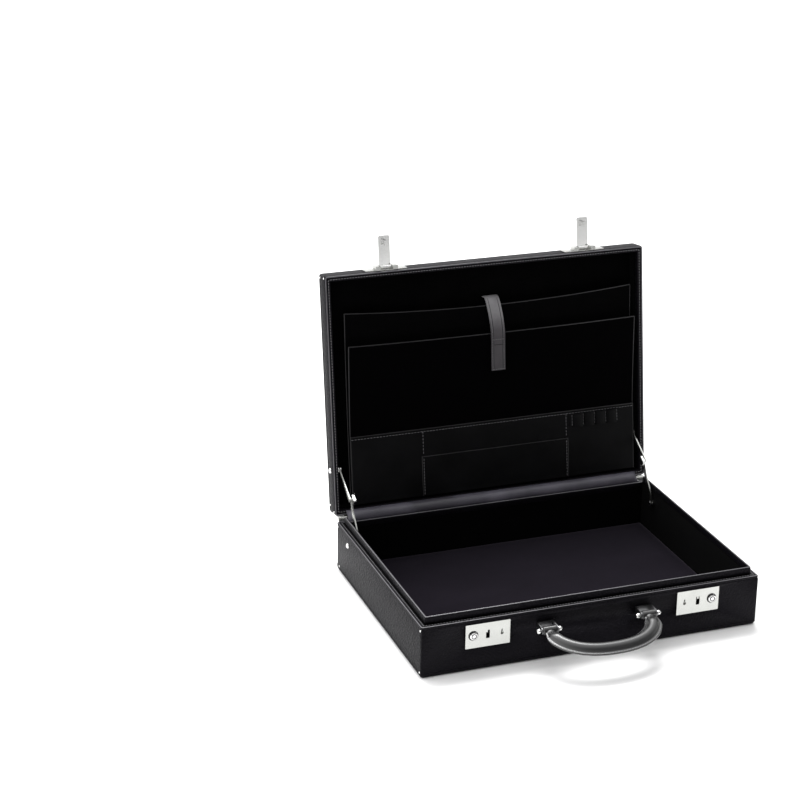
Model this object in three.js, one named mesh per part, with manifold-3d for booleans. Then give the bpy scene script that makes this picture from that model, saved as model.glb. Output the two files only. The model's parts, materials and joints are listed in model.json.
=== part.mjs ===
// Hard-sided leather attaché case, standing open on its tray.
// Millimetres, +Z up, +X to the right, +Y to the back; the origin is the middle of the tray's underside.
// The lid's pieces are drawn where they are when the case is shut, and the lid group then turns them open
// about the hinge.
import * as THREE from "three";
import * as BufferGeometryUtils from "three/addons/utils/BufferGeometryUtils.js";
import Module from "manifold-3d";

const wasm = await Module();
wasm.setup();

// ---- driving dimensions ----
const GAP = 0.3;                      // clearance between neighbouring pieces
const CASE_W = 430;
const CASE_D = 306;
const TRAY_H = 65;
const LID_H = 27;
const PARTING = 3;                    // gap between the two rims when shut
const WALL = 7;
const TRAY_FLOOR = 4;
const LID_PANEL = 3.5;
const BACK_EDGE_R = 8;                // rounded long edge on the hinge side
const EDGE_R = 1.5;                   // rounding of the other outer edges
const LID_OPEN = THREE.MathUtils.degToRad(98);

const LINER_T = 2.5;                  // lining board that stands up as the dust lip
const LIP_RISE = 9;
const BACK_LIP_RISE = 0.6;
const BOARD_T = 2;
const PAD_T = 3;
const LID_LINING_T = 1.2;

const HINGE_BACK = 3.5;               // hinge axis behind the back face
const HINGE_ROD_R = 1.2;
const HINGE_KNUCKLE_R = 3;
const HINGE_ROLL_R = 3.3;
const HINGE_LEAF = { inner: 183, outer: 212, knuckle: 7.5, drop: 25, rise: 17, t: 1 };

const STAY_LOWER = 56;                // pivot to knuckle
const STAY_UPPER = 49;
const STAY_ARM_W = 5;
const STAY_TRAY_PIVOT = { y: 109, z: 51 };
const STAY_LID_PIVOT = { y: 96.5, z: 80.5 };
const KNUCKLE = { halfLong: 6, halfTall: 4.2, deep: 2.9 };
const RIVET_R = 2;

const LOCK_X = 134;                   // lock and hasp centres from the middle of the case
const LOCK_PLATE = { w: 55, h: 30, t: 1.2, z: 45 };
const BUTTON = { x: 18, z: 46, r: 4.8, flangeR: 6, stemR: 3, stem: 3, flange: 4, cap: 8.4, travelRoom: 3.8 };
const KEY = { x: 17.5, z: 45.5, r: 3.9, length: 5, slitHalfW: 0.7, slitHalfH: 2.5 };
const SLOT = { w: 4.6, h: 10.6, z: 45.5, deep: 4.6 };
const LOCK_BODY = { halfW: 24, halfH: 12, z: 45 };
const BOLT = { w: 10, h: 3.5, t: 1.2, in: -0.5, low: 47 };

const HASP_PLATE = { w: 55, h: 16.5, t: 1.2, z: 78.45 };
const BRIDGE = { w: 29, low: 67.8, top: 80.6, roof: 2, depth: 4.4 };
const TONGUE = { w: 15, t: 1.6, low: 37, pinY: 4, pinZ: 76, barrelR: 1.9, pinR: 1 };
const CATCH = { w: 3, low: 42, high: 49.5, stemHigh: 46.5, reach: 3.5, barb: 2 };

const HANDLE_X = 63;                  // handle pin centres from the middle of the case
const HANDLE_PIN = { out: 14, z: 45, r: 2, ballR: 3.1, halfLength: 13.1, ballCut: 2.32 };
const HANDLE_DROOP = THREE.MathUtils.degToRad(13);
const HANDLE_ARCH = { half: 64.5, reach: 47, power: 2.3, start: 14 };
const GRIP = { across: 10, through: 7 };
const BARREL = { r: 5, w: 17 };
const STRAP_END = { w: 14, t: 8, reach: 11 };
const BRACKET = { base: 1.6, ear: 1.6, rootHalf: 5.5, tipR: 4.2 };

const ORG = { x: 5.6, half: 195, t: 1.2, backTop: 259, middleTop: 219, frontTop: 101.5, foot: 14 };
const POCKET_DEEP = 7;                // hollow of the two big pockets
const CARD_SLOT = { half: 101, top: 65.5, t: 1 };
const PEN_LOOPS = { x: 113, pitch: 16, count: 4, deep: 4.6, low: 80, high: 97.5, t: 1 };
const ORG_STRAP = { x: 8.5, w: 19, t: 1.6, anchor: 268, tip: 169 };

// ---- derived places ----
const HALF_W = CASE_W / 2;
const FRONT = -CASE_D / 2;
const BACK = CASE_D / 2;
const LID_RIM = TRAY_H + PARTING;
const LID_TOP = LID_RIM + LID_H;
const HINGE_Y = BACK + HINGE_BACK;
const HINGE_Z = TRAY_H + PARTING / 2;
const LID_CEILING = LID_TOP - LID_PANEL;

// ---- materials ----
function paint(color, roughness, metalness = 0) {
  return new THREE.MeshStandardMaterial({ color, roughness, metalness });
}
const LEATHER = paint(0x16151a, 0.5);
const GRIP_LEATHER = paint(0x0f0f12, 0.35);
const SUEDE = paint(0x241f2b, 0.95);
const LINING = paint(0x0c0b0e, 0.9);
const BOARD = paint(0x6a5640, 0.8);
const STEEL = paint(0xc9cacd, 0.3, 1);
const STRAP = paint(0x3a363d, 0.6);

// ---- solids and booleans ----
function solid(geometry) {
  const g = geometry.clone();
  g.deleteAttribute("normal");
  g.deleteAttribute("uv");
  const merged = BufferGeometryUtils.mergeVertices(g, 1e-4);
  const mesh = new wasm.Mesh({
    numProp: 3,
    vertProperties: new Float32Array(merged.attributes.position.array),
    triVerts: new Uint32Array(merged.index.array),
  });
  return new wasm.Manifold(mesh);
}

function geometryOf(manifold) {
  const mesh = manifold.getMesh();
  const g = new THREE.BufferGeometry();
  g.setAttribute("position", new THREE.BufferAttribute(new Float32Array(mesh.vertProperties), 3));
  g.setIndex(new THREE.BufferAttribute(new Uint32Array(mesh.triVerts), 1));
  g.computeVertexNormals();
  return g;
}

const cut = (base, ...tools) => geometryOf(tools.reduce((s, t) => s.subtract(solid(t)), solid(base)));
const join = (base, ...more) => geometryOf(more.reduce((s, t) => s.add(solid(t)), solid(base)));

// A box between two corners.
function box(x0, x1, y0, y1, z0, z1) {
  const g = new THREE.BoxGeometry(Math.abs(x1 - x0), Math.abs(y1 - y0), Math.abs(z1 - z0));
  return g.translate((x0 + x1) / 2, (y0 + y1) / 2, (z0 + z1) / 2);
}

// A cylinder along X or Y between two places on that axis; a and b are its centre on the other two axes.
function rod(axis, r, from, to, a, b, sides = 20) {
  const g = new THREE.CylinderGeometry(r, r, Math.abs(to - from), sides);
  const middle = (from + to) / 2;
  return axis === "x" ? g.rotateZ(Math.PI / 2).translate(middle, a, b) : g.translate(a, middle, b);
}

function roundedRect(halfX, halfY, r, cx = 0, cy = 0) {
  const s = new THREE.Shape();
  s.moveTo(cx - halfX + r, cy - halfY);
  s.lineTo(cx + halfX - r, cy - halfY);
  s.absarc(cx + halfX - r, cy - halfY + r, r, -Math.PI / 2, 0, false);
  s.lineTo(cx + halfX, cy + halfY - r);
  s.absarc(cx + halfX - r, cy + halfY - r, r, 0, Math.PI / 2, false);
  s.lineTo(cx - halfX + r, cy + halfY);
  s.absarc(cx - halfX + r, cy + halfY - r, r, Math.PI / 2, Math.PI, false);
  s.lineTo(cx - halfX, cy - halfY + r);
  s.absarc(cx - halfX + r, cy - halfY + r, r, Math.PI, Math.PI * 1.5, false);
  return s;
}

// An outline drawn in X and Y, standing from z0 to z1.
function slab(shape, z0, z1, curveSegments = 6) {
  const g = new THREE.ExtrudeGeometry(shape, { depth: z1 - z0, bevelEnabled: false, curveSegments });
  return g.translate(0, 0, z0);
}

// An outline drawn in X and Z, as a plate whose outer face looks to -Y at yOut.
function frontPlate(shape, yOut, t, curveSegments = 8) {
  const g = new THREE.ExtrudeGeometry(shape, { depth: t, bevelEnabled: false, curveSegments });
  return g.rotateX(Math.PI / 2).translate(0, yOut + t, 0);
}

// An outline drawn in Y and Z, as a plate from x0 to x1.
function sidePlate(shape, x0, x1, curveSegments = 8) {
  const g = new THREE.ExtrudeGeometry(shape, { depth: x1 - x0, bevelEnabled: false, curveSegments });
  return g.rotateX(Math.PI / 2).rotateZ(Math.PI / 2).translate(x0, 0, 0);
}

// A turned piece with its axis along X; the profile is radius against distance along the axis.
function turned(profile, sides = 20) {
  const points = profile.map(([r, along]) => new THREE.Vector2(r, along));
  return new THREE.LatheGeometry(points, sides).rotateZ(-Math.PI / 2);
}

const root = new THREE.Group();
const lid = new THREE.Group();
lid.position.set(0, HINGE_Y, HINGE_Z);
lid.rotation.x = -LID_OPEN;
root.add(lid);

function place(name, geometry, material, parent = root) {
  const mesh = new THREE.Mesh(geometry, material);
  mesh.name = name;
  parent.add(mesh);
  return mesh;
}

// The lid's pieces are drawn in the shut case's place, so they are taken to the hinge axis first.
function placeOnLid(name, geometry, material) {
  return place(name, geometry.translate(0, -HINGE_Y, -HINGE_Z), material, lid);
}

// ---- shells ----
// The case's side profile in Y and Z: the hinge-side outer edge at level zOuter is rounded with BACK_EDGE_R.
function shellProfile(zOuter, zRim) {
  const up = Math.sign(zRim - zOuter);
  const s = new THREE.Shape();
  s.moveTo(FRONT + EDGE_R, zRim - up * EDGE_R);
  s.lineTo(FRONT + EDGE_R, zOuter + up * EDGE_R);
  s.lineTo(BACK - BACK_EDGE_R, zOuter + up * EDGE_R);
  const r = BACK_EDGE_R - EDGE_R;
  s.absarc(BACK - BACK_EDGE_R, zOuter + up * BACK_EDGE_R, r, -up * Math.PI / 2, 0, up < 0);
  s.lineTo(BACK - EDGE_R, zRim - up * EDGE_R);
  s.closePath();
  return s;
}

function shellBlock(zOuter, zRim) {
  const depth = CASE_W - 2 * EDGE_R;
  const bevel = { bevelEnabled: true, bevelThickness: EDGE_R, bevelSize: EDGE_R, bevelSegments: 2 };
  const g = new THREE.ExtrudeGeometry(shellProfile(zOuter, zRim), { depth, curveSegments: 6, ...bevel });
  return g.rotateX(Math.PI / 2).rotateZ(Math.PI / 2).translate(-depth / 2, 0, 0);
}

// Holes for the rivets of both stays, right through the side walls.
function rivetHoles(pivot) {
  return rod("x", RIVET_R + GAP, -HALF_W - 5, HALF_W + 5, pivot.y, pivot.z);
}

function lockPocket(side) {
  const x = side * LOCK_X;
  const { halfW, halfH, z } = LOCK_BODY;
  return box(x - halfW, x + halfW, FRONT - 1, FRONT + WALL + 1, z - halfH, z + halfH);
}

function makeTray() {
  const inX = HALF_W - WALL;
  const inY = -FRONT - WALL;
  const cavity = box(-inX, inX, -inY, inY, TRAY_FLOOR, TRAY_H + 10);
  const holes = [rivetHoles(STAY_TRAY_PIVOT), lockPocket(-1), lockPocket(1)];
  place("tray_shell", cut(shellBlock(0, TRAY_H), cavity, ...holes), LEATHER);

  const linerX = inX - GAP;
  const linerY = inY - GAP;
  const floor = TRAY_FLOOR + GAP;
  const ring = roundedRect(linerX, linerY, 1.5);
  ring.holes.push(roundedRect(linerX - LINER_T, linerY - LINER_T, 1));
  // Along the hinge the lining stops just above the rim, so that the lid's rim can come down over it.
  const backLow = TRAY_H + BACK_LIP_RISE;
  const backTop = box(-linerX - 1, linerX + 1, linerY - LINER_T, linerY + 1, backLow, TRAY_H + 20);
  const liner = cut(slab(ring, floor, TRAY_H + LIP_RISE, 4), rivetHoles(STAY_TRAY_PIVOT), backTop);
  place("tray_dust_lip_liner", liner, LINING);

  const boardX = linerX - LINER_T - GAP;
  const boardY = linerY - LINER_T - GAP;
  place("tray_floor_board", slab(roundedRect(boardX, boardY, 1.5), floor, floor + BOARD_T, 3), BOARD);
  const padLow = floor + BOARD_T + GAP;
  place("tray_floor_pad", slab(roundedRect(boardX - GAP, boardY - GAP, 3), padLow, padLow + PAD_T, 4), SUEDE);
}

function makeLid() {
  const inX = HALF_W - WALL;
  const inY = -FRONT - WALL;
  const cavity = box(-inX, inX, -inY, inY, LID_RIM - 10, LID_CEILING);
  placeOnLid("lid_shell", cut(shellBlock(LID_TOP, LID_RIM), cavity, rivetHoles(STAY_LID_PIVOT)), LEATHER);

  const boardLow = LID_CEILING - GAP - BOARD_T;
  const board = slab(roundedRect(inX - GAP, inY - GAP, 1.5), boardLow, LID_CEILING - GAP, 3);
  placeOnLid("lid_lining_board", board, LINING);

  const ring = roundedRect(inX - GAP, inY - GAP, 1.5);
  ring.holes.push(roundedRect(inX - GAP - LID_LINING_T, inY - GAP - LID_LINING_T, 1));
  const lining = slab(ring, TRAY_H + LIP_RISE + 1.5, boardLow - GAP, 3);
  placeOnLid("lid_wall_lining", cut(lining, rivetHoles(STAY_LID_PIVOT)), LINING);
}

// ---- organiser in the lid ----
// Heights up the lid are counted from the hinge axis towards the front edge.
const up = (distance) => HINGE_Y - distance;
const ORG_CEILING = LID_CEILING - 2 * GAP - BOARD_T;
const BACK_POCKET_Z = ORG_CEILING + GAP - POCKET_DEEP - ORG.t;
const MIDDLE_POCKET_Z = BACK_POCKET_Z - POCKET_DEEP - ORG.t;
const FRONT_PANEL_Z = MIDDLE_POCKET_Z - GAP - ORG.t;

function pocketPanel(name, top, z, material) {
  const shape = roundedRect(ORG.half, (top - ORG.foot) / 2, 2, ORG.x, up((top + ORG.foot) / 2));
  placeOnLid(name, slab(shape, z, z + ORG.t, 3), material);
}

// The folded strip that closes a pocket at its foot and both ends.
function pocketGusset(name, top, z0, z1) {
  const left = ORG.x - ORG.half + 1;
  const right = ORG.x + ORG.half - 1;
  const foot = up(ORG.foot + 1);
  const head = up(top - 2);
  const s = new THREE.Shape();
  s.moveTo(left, head);
  s.lineTo(left + ORG.t, head);
  s.lineTo(left + ORG.t, foot - ORG.t);
  s.lineTo(right - ORG.t, foot - ORG.t);
  s.lineTo(right - ORG.t, head);
  s.lineTo(right, head);
  s.lineTo(right, foot);
  s.lineTo(left, foot);
  s.closePath();
  placeOnLid(name, slab(s, z0, z1), LINING);
}

// Four loops side by side, as a strip whose underside waves over four oval pockets.
function makePenLoops() {
  const loops = PEN_LOOPS;
  const end = loops.x + loops.pitch * loops.count;
  const base = FRONT_PANEL_Z - GAP;
  const s = new THREE.Shape();
  s.moveTo(loops.x - 3, base);
  s.lineTo(loops.x - 3, base - 1.2);
  for (let i = 0; i < loops.count; i += 1) {
    const middle = loops.x + loops.pitch * (i + 0.5);
    s.absellipse(middle, base - 1.2, loops.pitch / 2 - 0.4, loops.deep - 1.2, Math.PI, Math.PI * 2, false);
    const hole = new THREE.Path();
    const halfTall = loops.deep / 2 - loops.t;
    hole.absellipse(middle, base - loops.deep / 2, loops.pitch / 2 - 2, halfTall, 0, Math.PI * 2, true);
    s.holes.push(hole);
  }
  s.lineTo(end + 3, base - 1.2);
  s.lineTo(end + 3, base);
  s.closePath();
  const depth = loops.high - loops.low;
  const g = new THREE.ExtrudeGeometry(s, { depth, bevelEnabled: false, curveSegments: 8 });
  placeOnLid("organiser_pen_loops", g.rotateX(Math.PI / 2).translate(0, up(loops.low), 0), GRIP_LEATHER);
}

// A strap from the lining board over both pockets' mouths, drawn as its side outline in Y and Z.
function makeStrap() {
  const { x, w, t, anchor, tip } = ORG_STRAP;
  const overBack = BACK_POCKET_Z - GAP;
  const overMiddle = MIDDLE_POCKET_Z - GAP;
  const backLine = [
    [anchor, ORG_CEILING - GAP],
    [ORG.backTop + 6, ORG_CEILING - 3],
    [ORG.backTop + 1, overBack],
    [ORG.middleTop + 6, overBack - 2],
    [ORG.middleTop + 1, overMiddle],
    [tip, overMiddle],
  ];
  const s = new THREE.Shape();
  backLine.forEach(([u, z], i) => (i === 0 ? s.moveTo(up(u), z) : s.lineTo(up(u), z)));
  s.lineTo(up(tip), overMiddle - t);
  for (const [u, z] of backLine.slice(2, -1).reverse()) s.lineTo(up(u + 0.6), z - t);
  s.lineTo(up(ORG.backTop + 7), ORG_CEILING - 3 - t);
  s.lineTo(up(anchor + 2), ORG_CEILING - GAP);
  s.closePath();
  placeOnLid("organiser_strap", sidePlate(s, x - w / 2, x + w / 2), STRAP);
}

function makeOrganiser() {
  pocketPanel("organiser_back_pocket", ORG.backTop, BACK_POCKET_Z, LINING);
  pocketGusset("organiser_back_gusset", ORG.backTop, BACK_POCKET_Z + ORG.t + GAP, ORG_CEILING);
  pocketPanel("organiser_middle_pocket", ORG.middleTop, MIDDLE_POCKET_Z, SUEDE);
  pocketGusset("organiser_middle_gusset", ORG.middleTop, MIDDLE_POCKET_Z + ORG.t + GAP, BACK_POCKET_Z - GAP);
  pocketPanel("organiser_front_panel", ORG.frontTop, FRONT_PANEL_Z, GRIP_LEATHER);
  const cardTall = CARD_SLOT.top - ORG.foot;
  const card = roundedRect(CARD_SLOT.half, cardTall / 2, 1, ORG.x, up(ORG.foot + cardTall / 2));
  const cardHigh = FRONT_PANEL_Z - GAP;
  placeOnLid("organiser_card_slot", slab(card, cardHigh - CARD_SLOT.t, cardHigh, 2), GRIP_LEATHER);
  makePenLoops();
  makeStrap();
}

// ---- hinge ----
function hingeLeaf(side, zEnd, knuckleFrom, knuckleTo) {
  const x0 = Math.min(side * HINGE_LEAF.inner, side * HINGE_LEAF.outer);
  const x1 = Math.max(side * HINGE_LEAF.inner, side * HINGE_LEAF.outer);
  const y = BACK + GAP;
  const edge = TRAY_H + PARTING / 2 + Math.sign(zEnd - HINGE_Z) * (HINGE_KNUCKLE_R + 0.5);
  const leaf = box(x0, x1, y, y + HINGE_LEAF.t, edge, zEnd);
  const overlap = Math.sign(zEnd - edge);
  const neck = box(side * knuckleFrom, side * knuckleTo, y, y + HINGE_LEAF.t, HINGE_Z, edge + overlap);
  const knuckle = rod("x", HINGE_KNUCKLE_R, side * knuckleFrom, side * knuckleTo, HINGE_Y, HINGE_Z, 18);
  const bore = rod("x", HINGE_ROD_R + 0.1, side * 150, side * 230, HINGE_Y, HINGE_Z, 18);
  return cut(join(leaf, neck, knuckle), bore);
}

function makeHinge() {
  place("hinge_rod", rod("x", HINGE_ROD_R, -HINGE_LEAF.outer, HINGE_LEAF.outer, HINGE_Y, HINGE_Z, 14), STEEL);
  const rollEnd = HINGE_LEAF.outer - 2 * HINGE_LEAF.knuckle - 1.5;
  const outer = rod("x", HINGE_ROLL_R, -rollEnd, rollEnd, HINGE_Y, HINGE_Z, 18);
  const bore = rod("x", HINGE_ROD_R + 0.1, -rollEnd - 1, rollEnd + 1, HINGE_Y, HINGE_Z, 14);
  place("hinge_leather_roll", cut(outer, bore), LEATHER);
  for (const [side, word] of [[-1, "left"], [1, "right"]]) {
    const split = HINGE_LEAF.outer - HINGE_LEAF.knuckle;
    const trayLeaf = hingeLeaf(side, TRAY_H - HINGE_LEAF.drop, split, HINGE_LEAF.outer);
    place(`hinge_${word}_tray_leaf`, trayLeaf, STEEL);
    const lidKnuckle = [split - GAP - HINGE_LEAF.knuckle, split - GAP];
    const lidLeaf = hingeLeaf(side, LID_RIM + HINGE_LEAF.rise, ...lidKnuckle);
    placeOnLid(`hinge_${word}_lid_leaf`, lidLeaf, STEEL);
  }
}

// ---- folding stays ----
// Turns a point of the shut lid to where it is with the lid open.
function opened({ y, z }) {
  const v = new THREE.Vector2(y - HINGE_Y, z - HINGE_Z).rotateAround(new THREE.Vector2(0, 0), -LID_OPEN);
  return { y: v.x + HINGE_Y, z: v.y + HINGE_Z };
}

// The knuckle's place, in front of the line between two pivots, from the two arms' lengths.
function knuckleAt(low, high) {
  const apart = Math.hypot(high.y - low.y, high.z - low.z);
  const along = (STAY_LOWER ** 2 - STAY_UPPER ** 2 + apart ** 2) / (2 * apart);
  const off = Math.sqrt(STAY_LOWER ** 2 - along ** 2);
  const dy = (high.y - low.y) / apart;
  const dz = (high.z - low.z) / apart;
  return { y: low.y + along * dy - off * dz, z: low.z + along * dz + off * dy };
}

// A flat arm between two eyes, bowed sideways by bow at its middle, with its holes.
function stayArm(a, b, x0, x1, bow, holeR) {
  const length = Math.hypot(b.y - a.y, b.z - a.z);
  const tilt = Math.atan2(b.z - a.z, b.y - a.y);
  const half = STAY_ARM_W / 2;
  const steps = 12;
  const middle = (t) => new THREE.Vector2(t * length, bow * Math.sin(2 * Math.PI * t));
  const s = new THREE.Shape();
  for (let i = 0; i <= steps; i += 1) {
    const p = middle(i / steps);
    if (i === 0) s.moveTo(p.x, p.y - half);
    else s.lineTo(p.x, p.y - half);
  }
  s.absarc(length, 0, half, -Math.PI / 2, Math.PI / 2, false);
  for (let i = steps; i >= 0; i -= 1) {
    const p = middle(i / steps);
    s.lineTo(p.x, p.y + half);
  }
  s.absarc(0, 0, half, Math.PI / 2, Math.PI * 1.5, false);
  for (const x of [0, length]) {
    const hole = new THREE.Path();
    hole.absarc(x, 0, holeR, 0, Math.PI * 2, true);
    s.holes.push(hole);
  }
  const g = new THREE.ExtrudeGeometry(s, { depth: x1 - x0, bevelEnabled: false, curveSegments: 8 });
  g.rotateX(Math.PI / 2).rotateZ(Math.PI / 2).translate(x0, 0, 0);
  return g.rotateX(tilt).translate(0, a.y, a.z);
}

// A pivot rivet on the left side: domed head outside, shank, an optional spacing collar, and an inner head.
// Distances are from the middle of the case.
function rivet(pivot, side, collar, innerFrom, innerTo) {
  const out = HALF_W + GAP;
  const profile = [[0, out + 1.8], [1.8, out + 1.6], [3.2, out + 0.8], [3.6, out], [RIVET_R, out]];
  if (collar) profile.push([RIVET_R, collar[1]], [4, collar[1]], [4, collar[0]], [RIVET_R, collar[0]]);
  profile.push([RIVET_R, innerFrom], [3.4, innerFrom], [3.4, innerTo + 0.5], [2.6, innerTo], [0, innerTo]);
  const g = turned(profile.reverse(), 14);
  if (side < 0) g.rotateZ(Math.PI);
  return g.translate(0, pivot.y, pivot.z);
}

const upperX = { near: 202.8, far: 204.4 };
const lowerX = { near: 200.6, far: 202.2 };

function makeStay(side, word) {
  const low = STAY_TRAY_PIVOT;
  const high = opened(STAY_LID_PIVOT);
  const knuckle = knuckleAt(low, high);
  const span = (range) => [side * range.near, side * range.far].sort((p, q) => p - q);
  const eye = RIVET_R + 0.15;

  place(`stay_${word}_tray_rivet`, rivet(low, side, [lowerX.far + 0.2, 204.9], 200.3, 198.9), STEEL);
  place(`stay_${word}_lower_arm`, stayArm(low, knuckle, ...span(lowerX), 2.2, eye), STEEL);
  place(`stay_${word}_upper_arm`, stayArm(knuckle, high, ...span(upperX), 0, eye), STEEL);
  const lidPivot = { y: STAY_LID_PIVOT.y - HINGE_Y, z: STAY_LID_PIVOT.z - HINGE_Z };
  place(`stay_${word}_lid_rivet`, rivet(lidPivot, side, [204.7, 206.2], 202.5, 201.2), STEEL, lid);

  // The knuckle's barrel stands on the lower arm, and its rivet reaches into the arm's eye.
  const tilt = Math.atan2(high.z - knuckle.z, high.y - knuckle.y);
  const { halfLong, halfTall, deep } = KNUCKLE;
  const body = sidePlate(roundedRect(halfLong, halfTall, 2), 0, deep, 5).rotateX(tilt);
  const inner = side * (lowerX.near - GAP);
  const barrel = body.translate(side > 0 ? inner - deep : inner, 0, 0);
  const shank = rod("x", RIVET_R, inner - side, side * (lowerX.far + 0.2), 0, 0, 18);
  place(`stay_${word}_knuckle`, join(barrel, shank).translate(0, knuckle.y, knuckle.z), STEEL);
}

// ---- locks ----
function lockPlateShape(x, side) {
  const s = roundedRect(LOCK_PLATE.w / 2, LOCK_PLATE.h / 2, 0.8, x, LOCK_PLATE.z);
  const button = new THREE.Path();
  button.absarc(x + side * BUTTON.x, BUTTON.z, BUTTON.r + 0.4, 0, Math.PI * 2, true);
  const slot = new THREE.Path(roundedRect(SLOT.w / 2, SLOT.h / 2, 0.8, x, SLOT.z).getPoints(3));
  const keyhole = new THREE.Path();
  keyhole.absarc(x - side * KEY.x, KEY.z - 1.2, 2, Math.PI * 0.68, Math.PI * 2.32, false);
  keyhole.lineTo(x - side * KEY.x + 0.7, KEY.z + 4);
  keyhole.lineTo(x - side * KEY.x - 0.7, KEY.z + 4);
  keyhole.closePath();
  s.holes.push(button, slot, keyhole);
  return s;
}

function makeLock(side, word) {
  const x = side * LOCK_X;
  const face = FRONT - GAP - LOCK_PLATE.t;
  const behind = FRONT;
  place(`lock_${word}_plate`, frontPlate(lockPlateShape(x, side), face, LOCK_PLATE.t), STEEL);

  const bx = x + side * BUTTON.x;
  const kx = x - side * KEY.x;
  const back = FRONT + WALL;
  const halfW = LOCK_BODY.halfW - GAP;
  const halfH = LOCK_BODY.halfH - GAP;
  const slotHalf = SLOT.w / 2 + GAP;
  const slotTall = SLOT.h / 2 + GAP;
  const boltRoom = { inner: BOLT.in - 2.5, outer: BOLT.in + BOLT.w + 4 };
  const housing = cut(
    box(x - halfW, x + halfW, behind, back - GAP, LOCK_BODY.z - halfH, LOCK_BODY.z + halfH),
    rod("y", BUTTON.flangeR + GAP, behind - 1, behind + BUTTON.travelRoom, bx, BUTTON.z, 24),
    rod("y", BUTTON.stemR + GAP, behind, back + 1, bx, BUTTON.z, 18),
    rod("y", KEY.r + GAP, behind - 1, behind + KEY.length + 0.5, kx, KEY.z, 20),
    box(x - slotHalf, x + slotHalf, behind - 1, behind + SLOT.deep, SLOT.z - slotTall, SLOT.z + slotTall),
    box(
      x + side * boltRoom.inner, x + side * boltRoom.outer,
      behind - 1, behind + BOLT.t + GAP,
      BOLT.low - GAP, BOLT.low + BOLT.h + GAP,
    ),
  );
  place(`lock_${word}_housing`, housing, BOARD);

  // Stem, flange and domed cap, from the back to the front.
  const { r, flangeR, stemR, stem, flange, cap } = BUTTON;
  const profile = [[0, 0], [stemR, 0], [stemR, stem], [flangeR, stem], [flangeR, flange], [r, flange]];
  profile.push([r, cap - 0.8], [r - 0.9, cap - 0.2], [0, cap]);
  const button = new THREE.LatheGeometry(profile.map(([radius, h]) => new THREE.Vector2(radius, h)), 24);
  place(`lock_${word}_button`, button.rotateX(Math.PI).translate(bx, behind + flange, BUTTON.z), STEEL);

  const bolt = [x + side * BOLT.in, x + side * (BOLT.in + BOLT.w), behind, behind + BOLT.t];
  place(`lock_${word}_bolt`, box(...bolt, BOLT.low, BOLT.low + BOLT.h), STEEL);

  const plug = new THREE.Shape();
  plug.absarc(kx, KEY.z, KEY.r, 0, Math.PI * 2, false);
  plug.holes.push(new THREE.Path(roundedRect(KEY.slitHalfW, KEY.slitHalfH, 0.2, kx, KEY.z).getPoints(2)));
  place(`lock_${word}_key_cylinder`, frontPlate(plug, behind, KEY.length, 10), STEEL);
}

// ---- hasps ----
function makeHasp(side, word) {
  const x = side * LOCK_X;
  const face = FRONT - GAP - HASP_PLATE.t;
  const plate = roundedRect(HASP_PLATE.w / 2, HASP_PLATE.h / 2, 0.8, x, HASP_PLATE.z);
  placeOnLid(`hasp_${word}_plate`, frontPlate(plate, face, HASP_PLATE.t), STEEL);

  // The bridge is an upturned U: a roof and two cheeks with blind holes for the pin.
  const near = face - GAP;
  const far = near - BRIDGE.depth;
  const pinY = FRONT - TONGUE.pinY;
  const channel = TONGUE.w / 2 + 0.5;
  const roofLow = BRIDGE.top - BRIDGE.roof;
  const bridge = cut(
    box(x - BRIDGE.w / 2, x + BRIDGE.w / 2, far, near, BRIDGE.low, BRIDGE.top),
    box(x - channel, x + channel, far - 1, near + 1, BRIDGE.low - 1, roofLow),
    rod("x", TONGUE.pinR + 0.1, x - 13, x + 13, pinY, TONGUE.pinZ, 14),
  );
  placeOnLid(`hasp_${word}_bridge`, bridge, STEEL);
  placeOnLid(`hasp_${word}_pin`, rod("x", TONGUE.pinR, x - 12.6, x + 12.6, pinY, TONGUE.pinZ, 14), STEEL);

  // The tongue is drawn latched, about its pin, and stands open square to the plate.
  const low = TONGUE.low - TONGUE.pinZ;
  const shape = new THREE.Shape();
  const w = TONGUE.w / 2;
  shape.moveTo(-w, 0);
  shape.lineTo(-w, low + 2);
  shape.absarc(-w + 2, low + 2, 2, Math.PI, Math.PI * 1.5, false);
  shape.absarc(w - 2, low + 2, 2, -Math.PI / 2, 0, false);
  shape.lineTo(w, 0);
  shape.closePath();
  const z = (height) => height - TONGUE.pinZ;
  const tip = TONGUE.pinY + CATCH.reach;
  const tongue = cut(
    join(
      frontPlate(shape, -TONGUE.barrelR + 0.1, TONGUE.t, 5),
      rod("x", TONGUE.barrelR, -w, w, 0, 0, 20),
      box(-CATCH.w / 2, CATCH.w / 2, -1, tip, z(CATCH.low), z(CATCH.stemHigh)),
      box(-CATCH.w / 2, CATCH.w / 2, tip - CATCH.barb, tip, z(CATCH.low), z(CATCH.high)),
    ),
    rod("x", TONGUE.pinR + 0.1, -w - 1, w + 1, 0, 0, 14),
  );
  const mesh = place(`hasp_${word}_tongue`, tongue, STEEL, lid);
  mesh.position.set(x, pinY - HINGE_Y, TONGUE.pinZ - HINGE_Z);
  mesh.rotation.x = -Math.PI / 2;
}

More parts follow.
